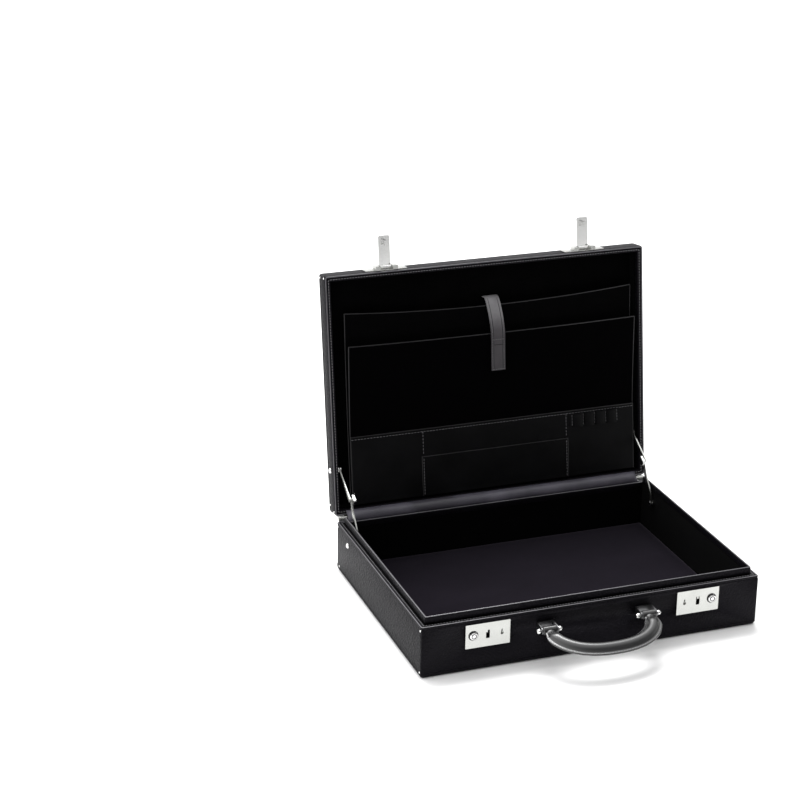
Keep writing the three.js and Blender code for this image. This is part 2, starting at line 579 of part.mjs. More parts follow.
// ---- handle ----
function makeHandleBracket(side, word) {
  const x = side * HANDLE_X;
  const face = FRONT - GAP;
  const pinY = FRONT - HANDLE_PIN.out;
  const earIn = BARREL.w / 2 + GAP;
  const { base, ear, rootHalf, tipR } = BRACKET;
  const outline = new THREE.Shape();
  outline.moveTo(face, HANDLE_PIN.z - rootHalf);
  outline.lineTo(face, HANDLE_PIN.z + rootHalf);
  outline.lineTo(pinY, HANDLE_PIN.z + tipR);
  outline.absarc(pinY, HANDLE_PIN.z, tipR, Math.PI / 2, Math.PI * 1.5, false);
  outline.closePath();
  const half = earIn + ear;
  const foot = box(x - half, x + half, face - base, face, HANDLE_PIN.z - rootHalf, HANDLE_PIN.z + rootHalf);
  const ears = [sidePlate(outline, x - half, x - earIn), sidePlate(outline, x + earIn, x + half)];
  const bore = rod("x", HANDLE_PIN.r + 0.1, x - half - 1, x + half + 1, pinY, HANDLE_PIN.z, 18);
  place(`handle_${word}_bracket`, cut(join(foot, ...ears), bore), STEEL);

  // The pin ends in a ball on each side.
  const { r, ballR, halfLength, ballCut } = HANDLE_PIN;
  const steps = 4;
  const ball = [];
  for (let i = 0; i <= steps; i += 1) {
    const a = Math.PI / 2 - (i / steps) * (Math.PI / 2 + Math.asin(ballCut / ballR));
    ball.push([ballR * Math.cos(a), halfLength + ballR * Math.sin(a)]);
  }
  const rightHalf = [...ball, [r, halfLength - ballCut]];
  const leftHalf = [...rightHalf].reverse().map(([radius, along]) => [radius, -along]);
  const pin = turned([...rightHalf, ...leftHalf].reverse(), 14).translate(x, pinY, HANDLE_PIN.z);
  place(`handle_${word}_pin`, pin, STEEL);
}

// The grip's middle line in the handle's own frame, a squarish half oval reaching out along -Y from the pins.
function gripLine() {
  const { half, reach, power, start } = HANDLE_ARCH;
  const first = Math.asin((start / reach) ** (power / 2));
  const steps = 32;
  const points = [];
  for (let i = 0; i <= steps; i += 1) {
    const a = first + (i / steps) * (Math.PI - 2 * first);
    const x = -Math.sign(Math.cos(a)) * half * Math.abs(Math.cos(a)) ** (2 / power);
    points.push(new THREE.Vector3(x, -reach * Math.sin(a) ** (2 / power), 0));
  }
  return new THREE.CatmullRomCurve3(points);
}

function makeHandle() {
  const handle = new THREE.Group();
  handle.position.set(0, FRONT - HANDLE_PIN.out, HANDLE_PIN.z);
  handle.rotation.x = HANDLE_DROOP;
  root.add(handle);
  const section = new THREE.Shape();
  section.absellipse(0, 0, GRIP.through, GRIP.across, 0, Math.PI * 2, false);
  const along = { steps: 40, curveSegments: 6, bevelEnabled: false, extrudePath: gripLine() };
  place("handle_grip", new THREE.ExtrudeGeometry(section, along), GRIP_LEATHER, handle);

  for (const [side, word] of [[-1, "left"], [1, "right"]]) {
    const x = side * HANDLE_X;
    const { w, t, reach } = STRAP_END;
    const barrel = rod("x", BARREL.r, x - BARREL.w / 2, x + BARREL.w / 2, 0, 0, 20);
    const strap = box(x - w / 2, x + w / 2, -reach, 0, -t / 2, t / 2);
    const bore = rod("x", HANDLE_PIN.r + 0.1, x - BARREL.w, x + BARREL.w, 0, 0, 18);
    place(`handle_${word}_end`, cut(join(barrel, strap), bore), GRIP_LEATHER, handle);
    makeHandleBracket(side, word);
  }
}

makeTray();
makeLid();
makeOrganiser();
makeHinge();
for (const [side, word] of [[-1, "left"], [1, "right"]]) {
  makeStay(side, word);
  makeLock(side, word);
  makeHasp(side, word);
}
makeHandle();

export default root;
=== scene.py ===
"""Looks of a hard-sided leather attache case, open on its tray. Metres, +Z up, +Y towards the hinge."""
import json
import math

import bmesh
import bpy
from mathutils import Matrix, Vector, noise


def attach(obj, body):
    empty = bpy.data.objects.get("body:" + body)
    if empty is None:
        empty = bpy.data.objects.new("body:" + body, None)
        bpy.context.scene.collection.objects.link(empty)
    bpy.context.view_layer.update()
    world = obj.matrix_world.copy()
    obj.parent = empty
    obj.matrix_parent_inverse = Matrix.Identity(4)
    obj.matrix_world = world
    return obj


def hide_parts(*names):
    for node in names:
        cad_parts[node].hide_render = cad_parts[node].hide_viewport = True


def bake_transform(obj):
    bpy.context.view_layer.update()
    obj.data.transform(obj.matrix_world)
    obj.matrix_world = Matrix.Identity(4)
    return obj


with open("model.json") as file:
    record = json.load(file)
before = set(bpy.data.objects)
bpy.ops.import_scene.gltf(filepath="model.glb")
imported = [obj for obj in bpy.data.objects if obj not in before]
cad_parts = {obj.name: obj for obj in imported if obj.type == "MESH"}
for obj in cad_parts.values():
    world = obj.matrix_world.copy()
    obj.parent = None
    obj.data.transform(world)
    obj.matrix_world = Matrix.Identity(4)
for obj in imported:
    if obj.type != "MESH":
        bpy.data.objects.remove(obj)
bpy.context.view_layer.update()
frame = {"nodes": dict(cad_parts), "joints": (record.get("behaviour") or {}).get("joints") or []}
NODES = frame["nodes"]
JOINTS = {j["name"]: j for j in frame["joints"]}
MM = 0.001
SIDES = ((-1, "left"), (1, "right"))

# ---- the frame's own places ----
HINGE = Vector(JOINTS["lid_hinge"]["pos_m"])
LID_OPEN = math.radians(JOINTS["lid_hinge"]["range_deg"][1])
# Carries a point of the shut lid to the open lid, and back.
OPEN = Matrix.Translation(HINGE) @ Matrix.Rotation(-LID_OPEN, 4, "X") @ Matrix.Translation(-HINGE)
SHUT = OPEN.inverted()
REST = Matrix.Identity(4)


def node_box(name, undo=REST):
    """A CAD node's box in the frame that undo takes it back to."""
    points = [undo @ v.co for v in NODES[name].data.vertices]
    low = Vector([min(p[i] for p in points) for i in range(3)])
    high = Vector([max(p[i] for p in points) for i in range(3)])
    return low, high


TRAY_LOW, TRAY_HIGH = node_box("tray_shell")
LID_LOW, LID_HIGH = node_box("lid_shell", SHUT)
LINER_LOW, LINER_HIGH = node_box("tray_dust_lip_liner")
HALF_W = TRAY_HIGH.x
FRONT = TRAY_LOW.y
BACK = TRAY_HIGH.y
GAP = 0.3 * MM
WALL = HALF_W - LINER_HIGH.x - GAP
LINER_T = 2.5 * MM
SIDE_EDGE_R = 4 * MM
BACK_EDGE_R = 10 * MM
CORNER_R = 3.5 * MM
# The lid drawn like the tray, standing on its large face at z = 0, and turned from there to its open place.
LID_H = LID_HIGH.z - LID_LOW.z
LID_UPRIGHT = OPEN @ Matrix.Translation((0, 0, LID_HIGH.z)) @ Matrix.Scale(-1, 4, (0, 0, 1))


# ---- node material helpers ----
class Paint:
    """A principled material under construction."""

    def __init__(self, name, color, roughness, metallic=0.0, **constants):
        self.material = bpy.data.materials.new(name)
        self.material.use_nodes = True
        self.nodes = self.material.node_tree.nodes
        self.links = self.material.node_tree.links
        self.bsdf = self.nodes["Principled BSDF"]
        self.set(self.bsdf, {"Base Color": (*color, 1), "Roughness": roughness, "Metallic": metallic})
        self.set(self.bsdf, {key.replace("_", " "): value for key, value in constants.items()})
        self.coords = self.nodes.new("ShaderNodeTexCoord").outputs["Object"]

    @staticmethod
    def set(node, values):
        for key, value in values.items():
            node.inputs[key].default_value = value

    def add(self, kind, values=None, **settings):
        node = self.nodes.new(kind)
        for key, value in settings.items():
            setattr(node, key, value)
        self.set(node, values or {})
        return node

    def stretch(self, scale):
        """Object coordinates, scaled unevenly."""
        mapping = self.add("ShaderNodeMapping", {"Scale": scale})
        self.links.new(self.coords, mapping.inputs["Vector"])
        return mapping.outputs["Vector"]

    def noise(self, scale, detail=3.0, roughness=0.5, vector=None, distortion=0.0):
        values = {"Scale": scale, "Detail": detail, "Roughness": roughness, "Distortion": distortion}
        node = self.add("ShaderNodeTexNoise", values)
        self.links.new(vector or self.coords, node.inputs["Vector"])
        return node.outputs["Fac"]

    def cells(self, scale, feature="SMOOTH_F1", vector=None, smooth=0.4):
        values = {"Scale": scale}
        node = self.add("ShaderNodeTexVoronoi", values, feature=feature)
        if feature == "SMOOTH_F1":
            node.inputs["Smoothness"].default_value = smooth
        self.links.new(vector or self.coords, node.inputs["Vector"])
        return node.outputs["Distance"]

    def warped(self, scale, amount):
        """Object coordinates pushed about by noise, so that cells lose their regular look."""
        wobble = self.add("ShaderNodeTexNoise", {"Scale": scale, "Detail": 2.0})
        self.links.new(self.coords, wobble.inputs["Vector"])
        mix = self.add("ShaderNodeVectorMath", {1: (amount,) * 3}, operation="MULTIPLY")
        self.links.new(wobble.outputs["Color"], mix.inputs[0])
        total = self.add("ShaderNodeVectorMath", operation="ADD")
        self.links.new(self.coords, total.inputs[0])
        self.links.new(mix.outputs[0], total.inputs[1])
        return total.outputs[0]

    def ramp(self, fac, stops):
        node = self.add("ShaderNodeValToRGB")
        elements = node.color_ramp.elements
        while len(elements) < len(stops):
            elements.new(0.5)
        for element, (place, color) in zip(elements, stops):
            element.position = place
            element.color = color if len(color) == 4 else (*color, 1)
        self.links.new(fac, node.inputs["Fac"])
        return node.outputs["Color"]

    def spread(self, fac, low, high):
        """A 0 to 1 value as a range from low to high."""
        node = self.add("ShaderNodeMapRange", {"To Min": low, "To Max": high})
        self.links.new(fac, node.inputs["Value"])
        return node.outputs["Result"]

    def math(self, operation, a, b):
        node = self.add("ShaderNodeMath", operation=operation)
        for i, value in enumerate((a, b)):
            if isinstance(value, (int, float)):
                node.inputs[i].default_value = value
            else:
                self.links.new(value, node.inputs[i])
        return node.outputs[0]

    def blend(self, fac, a, b):
        node = self.add("ShaderNodeMix", data_type="RGBA")
        self.links.new(fac, node.inputs["Factor"])
        for key, value in ((6, a), (7, b)):
            if isinstance(value, tuple):
                node.inputs[key].default_value = (*value, 1)
            else:
                self.links.new(value, node.inputs[key])
        return node.outputs[2]

    def bump(self, *layers):
        """Stacks height layers, each (height, strength, distance in metres)."""
        normal = None
        for height, strength, distance in layers:
            node = self.add("ShaderNodeBump", {"Strength": strength, "Distance": distance})
            self.links.new(height, node.inputs["Height"])
            if normal is not None:
                self.links.new(normal, node.inputs["Normal"])
            normal = node.outputs["Normal"]
        self.links.new(normal, self.bsdf.inputs["Normal"])

    def drive(self, socket, source):
        self.links.new(source, self.bsdf.inputs[socket])


def grained_leather():
    """Near-black calf with a fine crinkled pebble grain and tone that varies at random; painted shade
    darkens the creases between the pebbles.
    """
    p = Paint("grained_leather", (0.005, 0.005, 0.006), 0.42, Specular_IOR_Level=0.095)
    p.set(p.bsdf, {"Specular Tint": (0.93, 0.89, 1.0, 1)})
    warped = p.warped(220.0, 0.0016)
    pebbles = p.cells(430.0, "SMOOTH_F1", warped)
    creases = p.cells(430.0, "DISTANCE_TO_EDGE", warped)
    pores = p.noise(2600.0, 4.0)
    broad = p.noise(14.0, 3.0)
    tone = p.ramp(broad, [(0.3, (0.003, 0.0026, 0.0037)), (0.7, (0.0062, 0.0055, 0.0078))])
    # Painted shade: the base colour drops to about a third along the creases between the pebbles.
    crease_shade_and_wear = p.ramp(creases, [(0.0, (0.35, 0.35, 0.35)), (0.35, (1, 1, 1))])
    shade = p.add("ShaderNodeMix", {"Factor": 1.0}, data_type="RGBA", blend_type="MULTIPLY")
    p.links.new(tone, shade.inputs[6])
    p.links.new(crease_shade_and_wear, shade.inputs[7])
    p.drive("Base Color", shade.outputs[2])
    p.drive("Roughness", p.math("ADD", p.spread(broad, 0.36, 0.46), p.spread(pebbles, 0.0, 0.12)))
    p.bump((pores, 0.15, 0.0001), (pebbles, 1.0, 0.0006), (creases, 0.5, 0.0004))
    return p.material


def smooth_leather(name, color, roughness, crease_shade_and_wear=0.0, grain=0.3, shine=0.3, coat=0.0):
    """Calf: faint grain, soft mottling and small handling marks; coat is its polish."""
    p = Paint(name, color, roughness, Specular_IOR_Level=shine, Coat_Weight=coat, Coat_Roughness=0.26)
    broad = p.noise(22.0, 4.0)
    fine = p.noise(900.0, 5.0)
    grains = p.cells(1100.0, "SMOOTH_F1", p.warped(300.0, 0.001))
    lighter = tuple(c * (1.7 + crease_shade_and_wear) + 0.001 for c in color)
    p.drive("Base Color", p.ramp(broad, [(0.35, color), (0.75, lighter)]))
    patches = p.spread(broad, roughness - 0.06, roughness + 0.08)
    p.drive("Roughness", p.math("ADD", patches, p.spread(fine, -0.03, 0.04)))
    p.bump((fine, 0.08, 0.0001), (grains, grain, 0.00012))
    return p.material


def strap_leather():
    """Grey-violet calf with a painted highlight: the base colour turns several times paler towards its top,
    where it bends out of the lining.
    """
    p = Paint("strap_leather", (0.03, 0.027, 0.031), 0.42, Specular_IOR_Level=0.4)
    height = p.add("ShaderNodeSeparateXYZ")
    p.links.new(p.coords, height.inputs[0])
    # Painted highlight: paler base colour over the top of the strap, for the light that falls on its bend.
    bend = {"From Min": 0.275, "From Max": 0.322}
    painted_top_light = p.add("ShaderNodeMapRange", bend, interpolation_type="SMOOTHSTEP")
    p.links.new(height.outputs["Z"], painted_top_light.inputs["Value"])
    mottle = p.noise(45.0, 4.0)
    low = p.ramp(mottle, [(0.3, (0.022, 0.0185, 0.0225)), (0.7, (0.034, 0.0295, 0.0345))])
    high = p.ramp(mottle, [(0.3, (0.15, 0.145, 0.153)), (0.7, (0.24, 0.235, 0.243))])
    p.drive("Base Color", p.blend(painted_top_light.outputs["Result"], low, high))
    grains = p.cells(1100.0, "SMOOTH_F1", p.warped(300.0, 0.001))
    p.drive("Roughness", p.spread(mottle, 0.38, 0.5))
    p.bump((grains, 0.4, 0.00012))
    return p.material


def suede(name, depth):
    """Short-nap violet-grey suede, brushed unevenly; a lower depth darkens it, and the pocket's copy is
    darkened this way as painted shade.
    """
    sheen = {"Sheen_Weight": 0.5 * depth, "Sheen_Roughness": 0.4}
    p = Paint(name, (0.02, 0.016, 0.025), 0.95, Specular_IOR_Level=0.02, **sheen)
    brushed = p.noise(7.0, 5.0, 0.55, vector=p.stretch((1.0, 2.2, 1.0)), distortion=0.6)
    nap = p.noise(1500.0, 4.0, 0.7)
    p.set(p.bsdf, {"Sheen Tint": (0.75, 0.68, 0.85, 1)})
    dark, light, tips = (
        tuple(c * depth for c in color)
        for color in ((0.011, 0.009, 0.014), (0.026, 0.021, 0.032), (0.016, 0.013, 0.02))
    )
    base = p.ramp(brushed, [(0.3, dark), (0.7, light)])
    p.drive("Base Color", p.blend(nap, base, tips))
    p.drive("Roughness", p.spread(nap, 0.85, 1.0))
    p.bump((nap, 0.5, 0.0003), (brushed, 0.15, 0.0008))
    return p.material


def lining_cloth(name, depth):
    """Matt black lining with a fine plain weave; a lower depth is a blacker dye."""
    sheen = {"Sheen_Weight": 0.15 * depth, "Sheen_Roughness": 0.5}
    p = Paint(name, (0.006, 0.006, 0.007), 0.9, Specular_IOR_Level=0.015, **sheen)
    across = p.add("ShaderNodeTexWave", {"Scale": 700.0, "Distortion": 0.6}, bands_direction="X")
    along = p.add("ShaderNodeTexWave", {"Scale": 700.0, "Distortion": 0.6}, bands_direction="Z")
    for wave in (across, along):
        p.links.new(p.coords, wave.inputs["Vector"])
    weave = p.math("MULTIPLY", across.outputs["Fac"], along.outputs["Fac"])
    fuzz = p.noise(40.0, 4.0)
    dark, light = (
        tuple(c * depth for c in color)
        for color in ((0.004, 0.004, 0.005), (0.009, 0.0085, 0.01))
    )
    p.drive("Base Color", p.ramp(fuzz, [(0.3, dark), (0.7, light)]))
    p.drive("Roughness", p.spread(weave, 0.82, 0.95))
    p.bump((weave, 0.3, 0.00015), (fuzz, 0.1, 0.0005))
    return p.material


def satin_metal(name, roughness, color):
    """Plated metal: fine lapping lines, faint clouding and small scratches."""
    p = Paint(name, color, roughness, 1.0, Anisotropic=0.25)
    lapped = p.noise(160.0, 3.0, 0.6, vector=p.stretch((1.0, 14.0, 14.0)))
    cloud = p.noise(60.0, 3.0)
    nicks = p.cells(700.0, "DISTANCE_TO_EDGE", p.warped(90.0, 0.01))
    scratch = p.ramp(nicks, [(0.0, (1, 1, 1)), (0.02, (0, 0, 0))])
    p.drive("Base Color", p.ramp(cloud, [(0.3, tuple(c * 0.92 for c in color)), (0.7, color)]))
    base = p.math("ADD", p.spread(lapped, roughness - 0.05, roughness + 0.07), p.spread(scratch, 0.0, 0.08))
    p.drive("Roughness", base)
    p.bump((lapped, 0.05, 0.00005), (scratch, 0.04, 0.00003))
    return p.material


def thread():
    """Waxed black-grey sewing thread with its twist."""
    p = Paint("thread", (0.1, 0.1, 0.105), 0.5, Specular_IOR_Level=0.4)
    twist = p.noise(4000.0, 2.0)
    p.drive("Base Color", p.ramp(twist, [(0.3, (0.08, 0.078, 0.084)), (0.7, (0.2, 0.198, 0.205))]))
    p.bump((twist, 0.4, 0.0001))
    return p.material


def hidden_board():
    """Brown fibre board, seen only where the lining stops."""
    p = Paint("fibre_board", (0.2, 0.14, 0.09), 0.8)
    fibres = p.noise(120.0, 6.0, 0.65, vector=p.stretch((1.0, 6.0, 1.0)))
    p.drive("Base Color", p.ramp(fibres, [(0.3, (0.13, 0.09, 0.055)), (0.7, (0.26, 0.19, 0.12))]))
    p.bump((fibres, 0.3, 0.0003))
    return p.material


def slot_shade_casting():
    """Zinc casting of the lock bodies, coloured near-black as painted shade for the inside of the lock
    slots.
    """
    p = Paint("slot_shade_casting", (0.04, 0.04, 0.042), 0.55, 1.0)
    grain = p.noise(500.0, 4.0)
    p.drive("Base Color", p.ramp(grain, [(0.3, (0.025, 0.025, 0.027)), (0.7, (0.05, 0.05, 0.052))]))
    p.drive("Roughness", p.spread(grain, 0.45, 0.65))
    p.bump((grain, 0.2, 0.0001))
    return p.material


GRAINED = grained_leather()
POLISHED = smooth_leather("polished_leather", (0.003, 0.003, 0.0035), 0.38, shine=0.38, coat=1.0)
# Painted highlight: the piping and lip-bead leather is about ten times paler than the case leather, for the
# light lines the beads catch; its polish is real.
PIPING_PAINTED_HIGHLIGHT = smooth_leather("piping_leather_painted_highlight", (0.055, 0.053, 0.06), 0.36, grain=0.8, shine=0.6, coat=0.35)
PANEL_LEATHER = smooth_leather("panel_leather", (0.002, 0.002, 0.0023), 0.5, grain=0.8, shine=0.06)
STRAP_LEATHER = strap_leather()
SUEDE = suede("suede", 0.28)
LINING = lining_cloth("lining_cloth", 0.1)
METAL = satin_metal("satin_metal", 0.24, (0.5, 0.505, 0.485))
NICKEL = satin_metal("dark_nickel", 0.32, (0.17, 0.17, 0.175))
BRIGHT = satin_metal("bright_metal", 0.14, (0.85, 0.85, 0.84))
PAINTED_SHADE_METAL = satin_metal("painted_shade_metal", 0.4, (0.03, 0.03, 0.032))
THREAD = thread()
BOARD = hidden_board()
HOUSING_PAINTED_SHADE = slot_shade_casting()
STRAP_SHADE_CORD = smooth_leather("strap_shade_cord_leather", (0.006, 0.0055, 0.0065), 0.5, shine=0.2)
BINDING = smooth_leather("binding_leather", (0.009, 0.0087, 0.0095), 0.42)
# Painted highlight: the roll leather is several times paler than the case leather, with paler patches at
# random, for the light that falls along the roll.
ROLL_LEATHER_PAINTED_HIGHLIGHT = smooth_leather("roll_leather_painted_highlight", (0.034, 0.032, 0.041), 0.42, crease_shade_and_wear=0.9, grain=1.6, shine=0.5)
DARK_CLOTH = lining_cloth("pocket_cloth", 0.1)
# Painted shade: the floor's suede darkened about fourteen times, for the shade inside the open lid's middle
# pocket.
POCKET_SUEDE_PAINTED_SHADE = suede("pocket_suede_painted_shade", 0.02)


# ---- mesh helpers ----
def piece(name, body, material, verts, faces, place=REST, sharp=38.0):
    """A mesh object in the row frame that rides on a body and takes a material slot's finish."""
    mesh = bpy.data.meshes.new(name)
    mesh.from_pydata([place @ Vector(v) for v in verts], [], faces)
    bm = bmesh.new()
    bm.from_mesh(mesh)
    bmesh.ops.remove_doubles(bm, verts=bm.verts, dist=1e-7)
    bmesh.ops.recalc_face_normals(bm, faces=bm.faces)
    bm.to_mesh(mesh)
    bm.free()
    mesh.materials.append(material)
    mesh.shade_smooth()
    mesh.set_sharp_from_angle(angle=math.radians(sharp))
    obj = bpy.data.objects.new(name, mesh)
    bpy.context.scene.collection.objects.link(obj)
    if body is not None:
        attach(obj, body)
    return obj


def ring_of(x0, x1, y0, y1, r, steps=6):
    """A rounded rectangle's points, anticlockwise from the right front corner.

    Each point carries 0 for the front or 1 for the back; a side's straight run joins the two.
    """
    corners = (
        (x1 - r, y0 + r, -90, 0, 0),
        (x1 - r, y1 - r, 0, 0, 1),
        (x0 + r, y1 - r, 90, 1, 0),
        (x0 + r, y0 + r, 180, 0, 0),
    )
    points = []
    for cx, cy, start, w0, w1 in corners:
        for i in range(steps + 1):
            share = i / steps
            a = math.radians(start + 90 * share)
            points.append((cx + r * math.cos(a), cy + r * math.sin(a), w0 + (w1 - w0) * share))
    return points


def loft(rings, close=False, caps=(False, False)):
    """Quads between rings of the same number of points; close joins the last ring to the first."""
    n = len(rings[0])
    verts = [p for ring in rings for p in ring]
    faces = []
    count = len(rings)
    for k in range(count if close else count - 1):
        a, b = k * n, ((k + 1) % count) * n
        for i in range(n):
            j = (i + 1) % n
            faces.append((a + i, a + j, b + j, b + i))
    if caps[0]:
        faces.append(tuple(range(n)))
    if caps[1]:
        faces.append(tuple(range((count - 1) * n, count * n)))
    return verts, faces


def turn_angles(steps):
    """Evenly spaced angles of one full turn, in radians."""
    return [2 * math.pi * k / steps for k in range(steps)]


def circle_at(r, h, sides):
    """Points of a circle about the Z axis."""
    return [(r * math.cos(a), r * math.sin(a), h) for a in turn_angles(sides)]


def sweep(name, body, material, path, r, sides, closed=False, place=REST):
    """A round cord of radius r along points."""
    n = len(path)
    path = [Vector(p) for p in path]
    tangents = []
    for i in range(n):
        before = path[(i - 1) % n] if closed or i > 0 else path[i]
        after = path[(i + 1) % n] if closed or i < n - 1 else path[i]
        tangents.append((after - before).normalized())
    up = Vector((0, 0, 1)) if abs(tangents[0].z) < 0.9 else Vector((0, 1, 0))
    rings = []
    for p, t in zip(path, tangents):
        side = t.cross(up)
        if side.length < 1e-6:
            side = t.cross(Vector((1, 0, 0)))
        side.normalize()
        up = side.cross(t).normalized()
        rings.append([p + side * (r * math.cos(a)) + up * (r * math.sin(a)) for a in turn_angles(sides)])
    verts, faces = loft(rings, close=closed, caps=(not closed, not closed))
    return piece(name, body, material, verts, faces, place)


def lathe(profile, sides):
    """A turned solid about the Z axis from (radius, height) points that start and end on the axis."""
    verts = []
    faces = []
    rows = []
    for r, h in profile:
        if r < 1e-7:
            rows.append([len(verts)])
            verts.append((0, 0, h))
        else:
            rows.append(list(range(len(verts), len(verts) + sides)))
            verts += circle_at(r, h, sides)
    for low, high in zip(rows, rows[1:]):
        for k in range(sides):
            j = (k + 1) % sides
            if len(low) == 1 and len(high) == 1:
                continue
            if len(low) == 1:
                faces.append((low[0], high[j], high[k]))
            elif len(high) == 1:
                faces.append((low[k], low[j], high[0]))
            else:
                faces.append((low[k], low[j], high[j], high[k]))
    return verts, faces


# The faces of a box whose corners are listed with x changing fastest, then y, then z.
BOX_FACES = [(0, 1, 3, 2), (4, 5, 7, 6), (0, 1, 5, 4), (2, 3, 7, 6), (0, 2, 6, 4), (1, 3, 7, 5)]


def turned_ring(section, sides=36):
    """A turned ring about the Z axis; its closed section is (radius, height) points."""
    return loft([circle_at(r, h, sides) for r, h in section], close=True)


# A piece drawn on the XY plane stands on the front wall: its Y becomes Z and its +Z looks to -Y.
FACING_FRONT = Matrix.Rotation(math.radians(90), 4, "X")
# A turned piece stands along X.
ALONG_X = Matrix.Rotation(math.radians(90), 4, "Y")


def along(points, closed):
    """The running length at each point of a polyline."""
    total = [0.0]
    pairs = list(zip(points, points[1:] + points[:1] if closed else points[1:]))
    for a, b in pairs:
        total.append(total[-1] + (Vector(b) - Vector(a)).length)
    return total


def stitches(name, body, path, normal, closed=False,
             pitch=4.2 * MM, length=2.9 * MM, r=0.33 * MM, place=REST):
    """A row of thread stitches lying along a path, on a surface that faces along normal."""
    points = [Vector(p) for p in path]
    lengths = along(points, closed)
    loop = points + points[:1] if closed else points
    count = max(1, round(lengths[-1] / pitch))
    verts, faces = [], []
    sides = 6
    segment = 0
    # Each stitch swells in its middle and its ends sink into the leather.
    profile = ((-0.5, 0.35), (-0.36, 0.95), (0.0, 1.08), (0.36, 0.95), (0.5, 0.35))
    for k in range(count):
        at = (k + 0.5) * lengths[-1] / count
        while lengths[segment + 1] < at:
            segment += 1
        a, b = loop[segment], loop[segment + 1]
        t = (b - a).normalized()
        centre = a.lerp(b, (at - lengths[segment]) / max(1e-9, lengths[segment + 1] - lengths[segment]))
        side = t.cross(Vector(normal)).normalized()
        n = side.cross(t).normalized()
        start = len(verts)
        for share, width in profile:
            sink = r * (0.55 if abs(share) == 0.5 else 0.0)
            c = centre + t * (share * length) + n * (0.35 * r - sink)
            for angle in turn_angles(sides):
                verts.append(c + side * (r * width * math.cos(angle)) + n * (r * width * math.sin(angle)))
        for ring in range(len(profile) - 1):
            for s in range(sides):
                j = (s + 1) % sides
                low = start + ring * sides
                faces.append((low + s, low + j, low + sides + j, low + sides + s))
        faces.append(tuple(range(start, start + sides)))
        faces.append(tuple(range(start + (len(profile) - 1) * sides, start + len(profile) * sides)))
    return piece(name, body, THREAD, verts, faces, place, 60.0)


# ---- camera, floor and lights ----
def make_camera():
    """The viewing angle: 20 degrees round to the left, 21 degrees down, with a hair of roll."""
    case_w = 2 * HALF_W
    yaw, pitch, roll = math.radians(20.03), math.radians(-21.17), math.radians(0.70)
    place = Vector((-2.2445, -4.6000, 2.6987)) * case_w + Vector((0, FRONT, 0))
    forward = Vector((math.sin(yaw) * math.cos(pitch), math.cos(yaw) * math.cos(pitch), math.sin(pitch)))
    level = Vector((math.cos(yaw), -math.sin(yaw), 0))
    over = level.cross(forward)
    right = level * math.cos(roll) + over * math.sin(roll)
    up = over * math.cos(roll) - level * math.sin(roll)
    data = bpy.data.cameras.new("camera")
    data.sensor_width = 36.0
    data.lens = 94.4
    camera = bpy.data.objects.new("camera", data)
    turn = Matrix((right, up, -forward)).transposed().to_4x4()
    camera.matrix_world = Matrix.Translation(place) @ turn
    bpy.context.scene.collection.objects.link(camera)
    bpy.context.scene.camera = camera


def soft_box(name, place, target, size, watts):
    """A rectangular light that faces a target."""
    data = bpy.data.lights.new(name, "AREA")
    data.shape = "RECTANGLE"
    data.size, data.size_y = size
    data.energy = watts
    light = bpy.data.objects.new(name, data)
    light.location = place
    light.rotation_euler = (Vector(target) - Vector(place)).to_track_quat("-Z", "Y").to_euler()
    bpy.context.scene.collection.objects.link(light)


def studio_world():
    """White studio light from above and behind, fading to a dim room in front of the case."""
    world = bpy.data.worlds.new("studio")
    world.use_nodes = True
    nodes, links = world.node_tree.nodes, world.node_tree.links
    direction = nodes.new("ShaderNodeTexCoord")
    towards = nodes.new("ShaderNodeVectorMath")
    towards.operation = "DOT_PRODUCT"
    towards.inputs[1].default_value = Vector((-0.35, 0.55, 0.75)).normalized()
    links.new(direction.outputs["Generated"], towards.inputs[0])
    span = nodes.new("ShaderNodeMapRange")
    span.interpolation_type = "SMOOTHSTEP"
    span.inputs["From Min"].default_value = -0.35
    span.inputs["From Max"].default_value = 0.85
    span.inputs["To Min"].default_value = 0.22
    span.inputs["To Max"].default_value = 1.75
    links.new(towards.outputs["Value"], span.inputs["Value"])
    links.new(span.outputs["Result"], nodes["Background"].inputs["Strength"])
    nodes["Background"].inputs["Color"].default_value = (1, 1, 1, 1)
    return world


def make_studio():
    """A white floor under the studio world, with two soft boxes."""
    scene = bpy.context.scene
    scene.view_settings.view_transform = "Standard"
    scene.world = studio_world()

    floor = bpy.data.meshes.new("floor")
    s = 12.0
    floor.from_pydata([(-s, -s, 0), (s, -s, 0), (s, s, 0), (-s, s, 0)], [], [(0, 1, 2, 3)])
    obj = bpy.data.objects.new("floor", floor)
    scene.collection.objects.link(obj)
    p = Paint("floor_paper", (0.86, 0.86, 0.86), 0.9, Specular_IOR_Level=0.1)
    grain = p.noise(30.0, 2.0)
    p.drive("Base Color", p.ramp(grain, [(0.3, (0.85, 0.85, 0.85)), (0.7, (0.88, 0.88, 0.88))]))
    floor.materials.append(p.material)

    soft_box("side", (-0.9, 0.5, 1.5), (0, 0, 0.1), (1.0, 0.35), 5)
    soft_box("top", (0.1, 0.75, 2.0), (0, -0.1, 0.1), (1.4, 0.6), 45)


